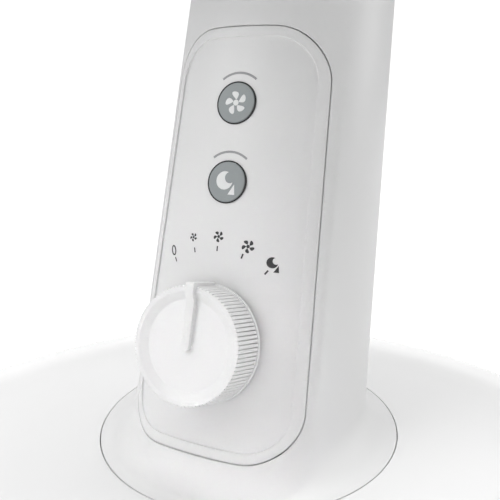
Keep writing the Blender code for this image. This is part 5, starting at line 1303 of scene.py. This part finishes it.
def math_node(tree, operation, first, second):
    """A maths node over two outputs, or over an output and a number."""
    made = tree.nodes.new("ShaderNodeMath")
    made.operation = operation
    tree.links.new(first, made.inputs[0])
    if isinstance(second, float):
        made.inputs[1].default_value = second
    else:
        tree.links.new(second, made.inputs[1])
    return made.outputs[0]


def white_to_camera(tree, lit, seen_white, share):
    """Mixes plain white over a lit surface as the camera sees it, and less of it in reflections."""
    path = tree.nodes.new("ShaderNodeLightPath").outputs
    reflected = math_node(tree, "MULTIPLY", path["Is Glossy Ray"], GLOSSY_SHARE)
    seen = math_node(tree, "MAXIMUM", path["Is Camera Ray"], reflected)
    mix = tree.nodes.new("ShaderNodeMixShader")
    tree.links.new(math_node(tree, "MULTIPLY", seen, share), mix.inputs["Fac"])
    tree.links.new(lit, mix.inputs[1])
    tree.links.new(seen_white, mix.inputs[2])
    output = next(n for n in tree.nodes if n.type.startswith("OUTPUT"))
    tree.links.new(mix.outputs["Shader"], output.inputs["Surface"])


def build_stage():
    shape = bmesh.new()
    corners = [(x * FLOOR_REACH, y * FLOOR_REACH, 0) for x, y in ((-1, -1), (1, -1), (1, 1), (-1, 1))]
    shape.faces.new([shape.verts.new(corner) for corner in corners])
    floor = solid(shape)
    floor.name = "floor"
    finish = bpy.data.materials.new("floor_white")
    finish.use_nodes = True
    tree = finish.node_tree
    shader = tree.nodes["Principled BSDF"]
    fill(shader, {"Base Color": (FLOOR_TONE, FLOOR_TONE, FLOOR_TONE, 1), "Roughness": 0.7})
    glow = fill(tree.nodes.new("ShaderNodeEmission"), {"Color": (1, 1, 1, 1), "Strength": FLOOR_GLOW})
    white_to_camera(tree, shader.outputs["BSDF"], glow.outputs["Emission"], FLOOR_SHARE)
    floor.data.materials.append(finish)

    world = bpy.data.worlds.new("studio")
    bpy.context.scene.world = world
    world.use_nodes = True
    tree = world.node_tree
    room = fill(tree.nodes["Background"], {"Color": (1, 1, 1, 1), "Strength": ROOM_LIGHT})
    white = fill(tree.nodes.new("ShaderNodeBackground"), {"Color": (1, 1, 1, 1), "Strength": ROOM_WHITE})
    white_to_camera(tree, room.outputs["Background"], white.outputs["Background"], 1.0)
    bpy.context.scene.view_settings.view_transform = "Standard"


def build_lights():
    for name, place, target, width, height, power, spread in LIGHTS:
        data = bpy.data.lights.new(name, "AREA")
        data.shape = "RECTANGLE"
        data.size = width
        data.size_y = height
        data.energy = power
        data.spread = radians(spread)
        aim = (Vector(target) - Vector(place)).to_track_quat("-Z", "Y")
        added(name, data).matrix_world = at(*place) @ aim.to_matrix().to_4x4()


build_camera()
build_stage()
build_lights()
build_base()
build_column()
build_panel()
build_buttons()
build_knob()
build_marks()
build_bracket()
build_tilt_clamp()
build_neck()
build_motor_cover()
build_shaft()
build_front_plate()
build_clutch_knob()
build_cage()
build_rim_ring()
build_blades()
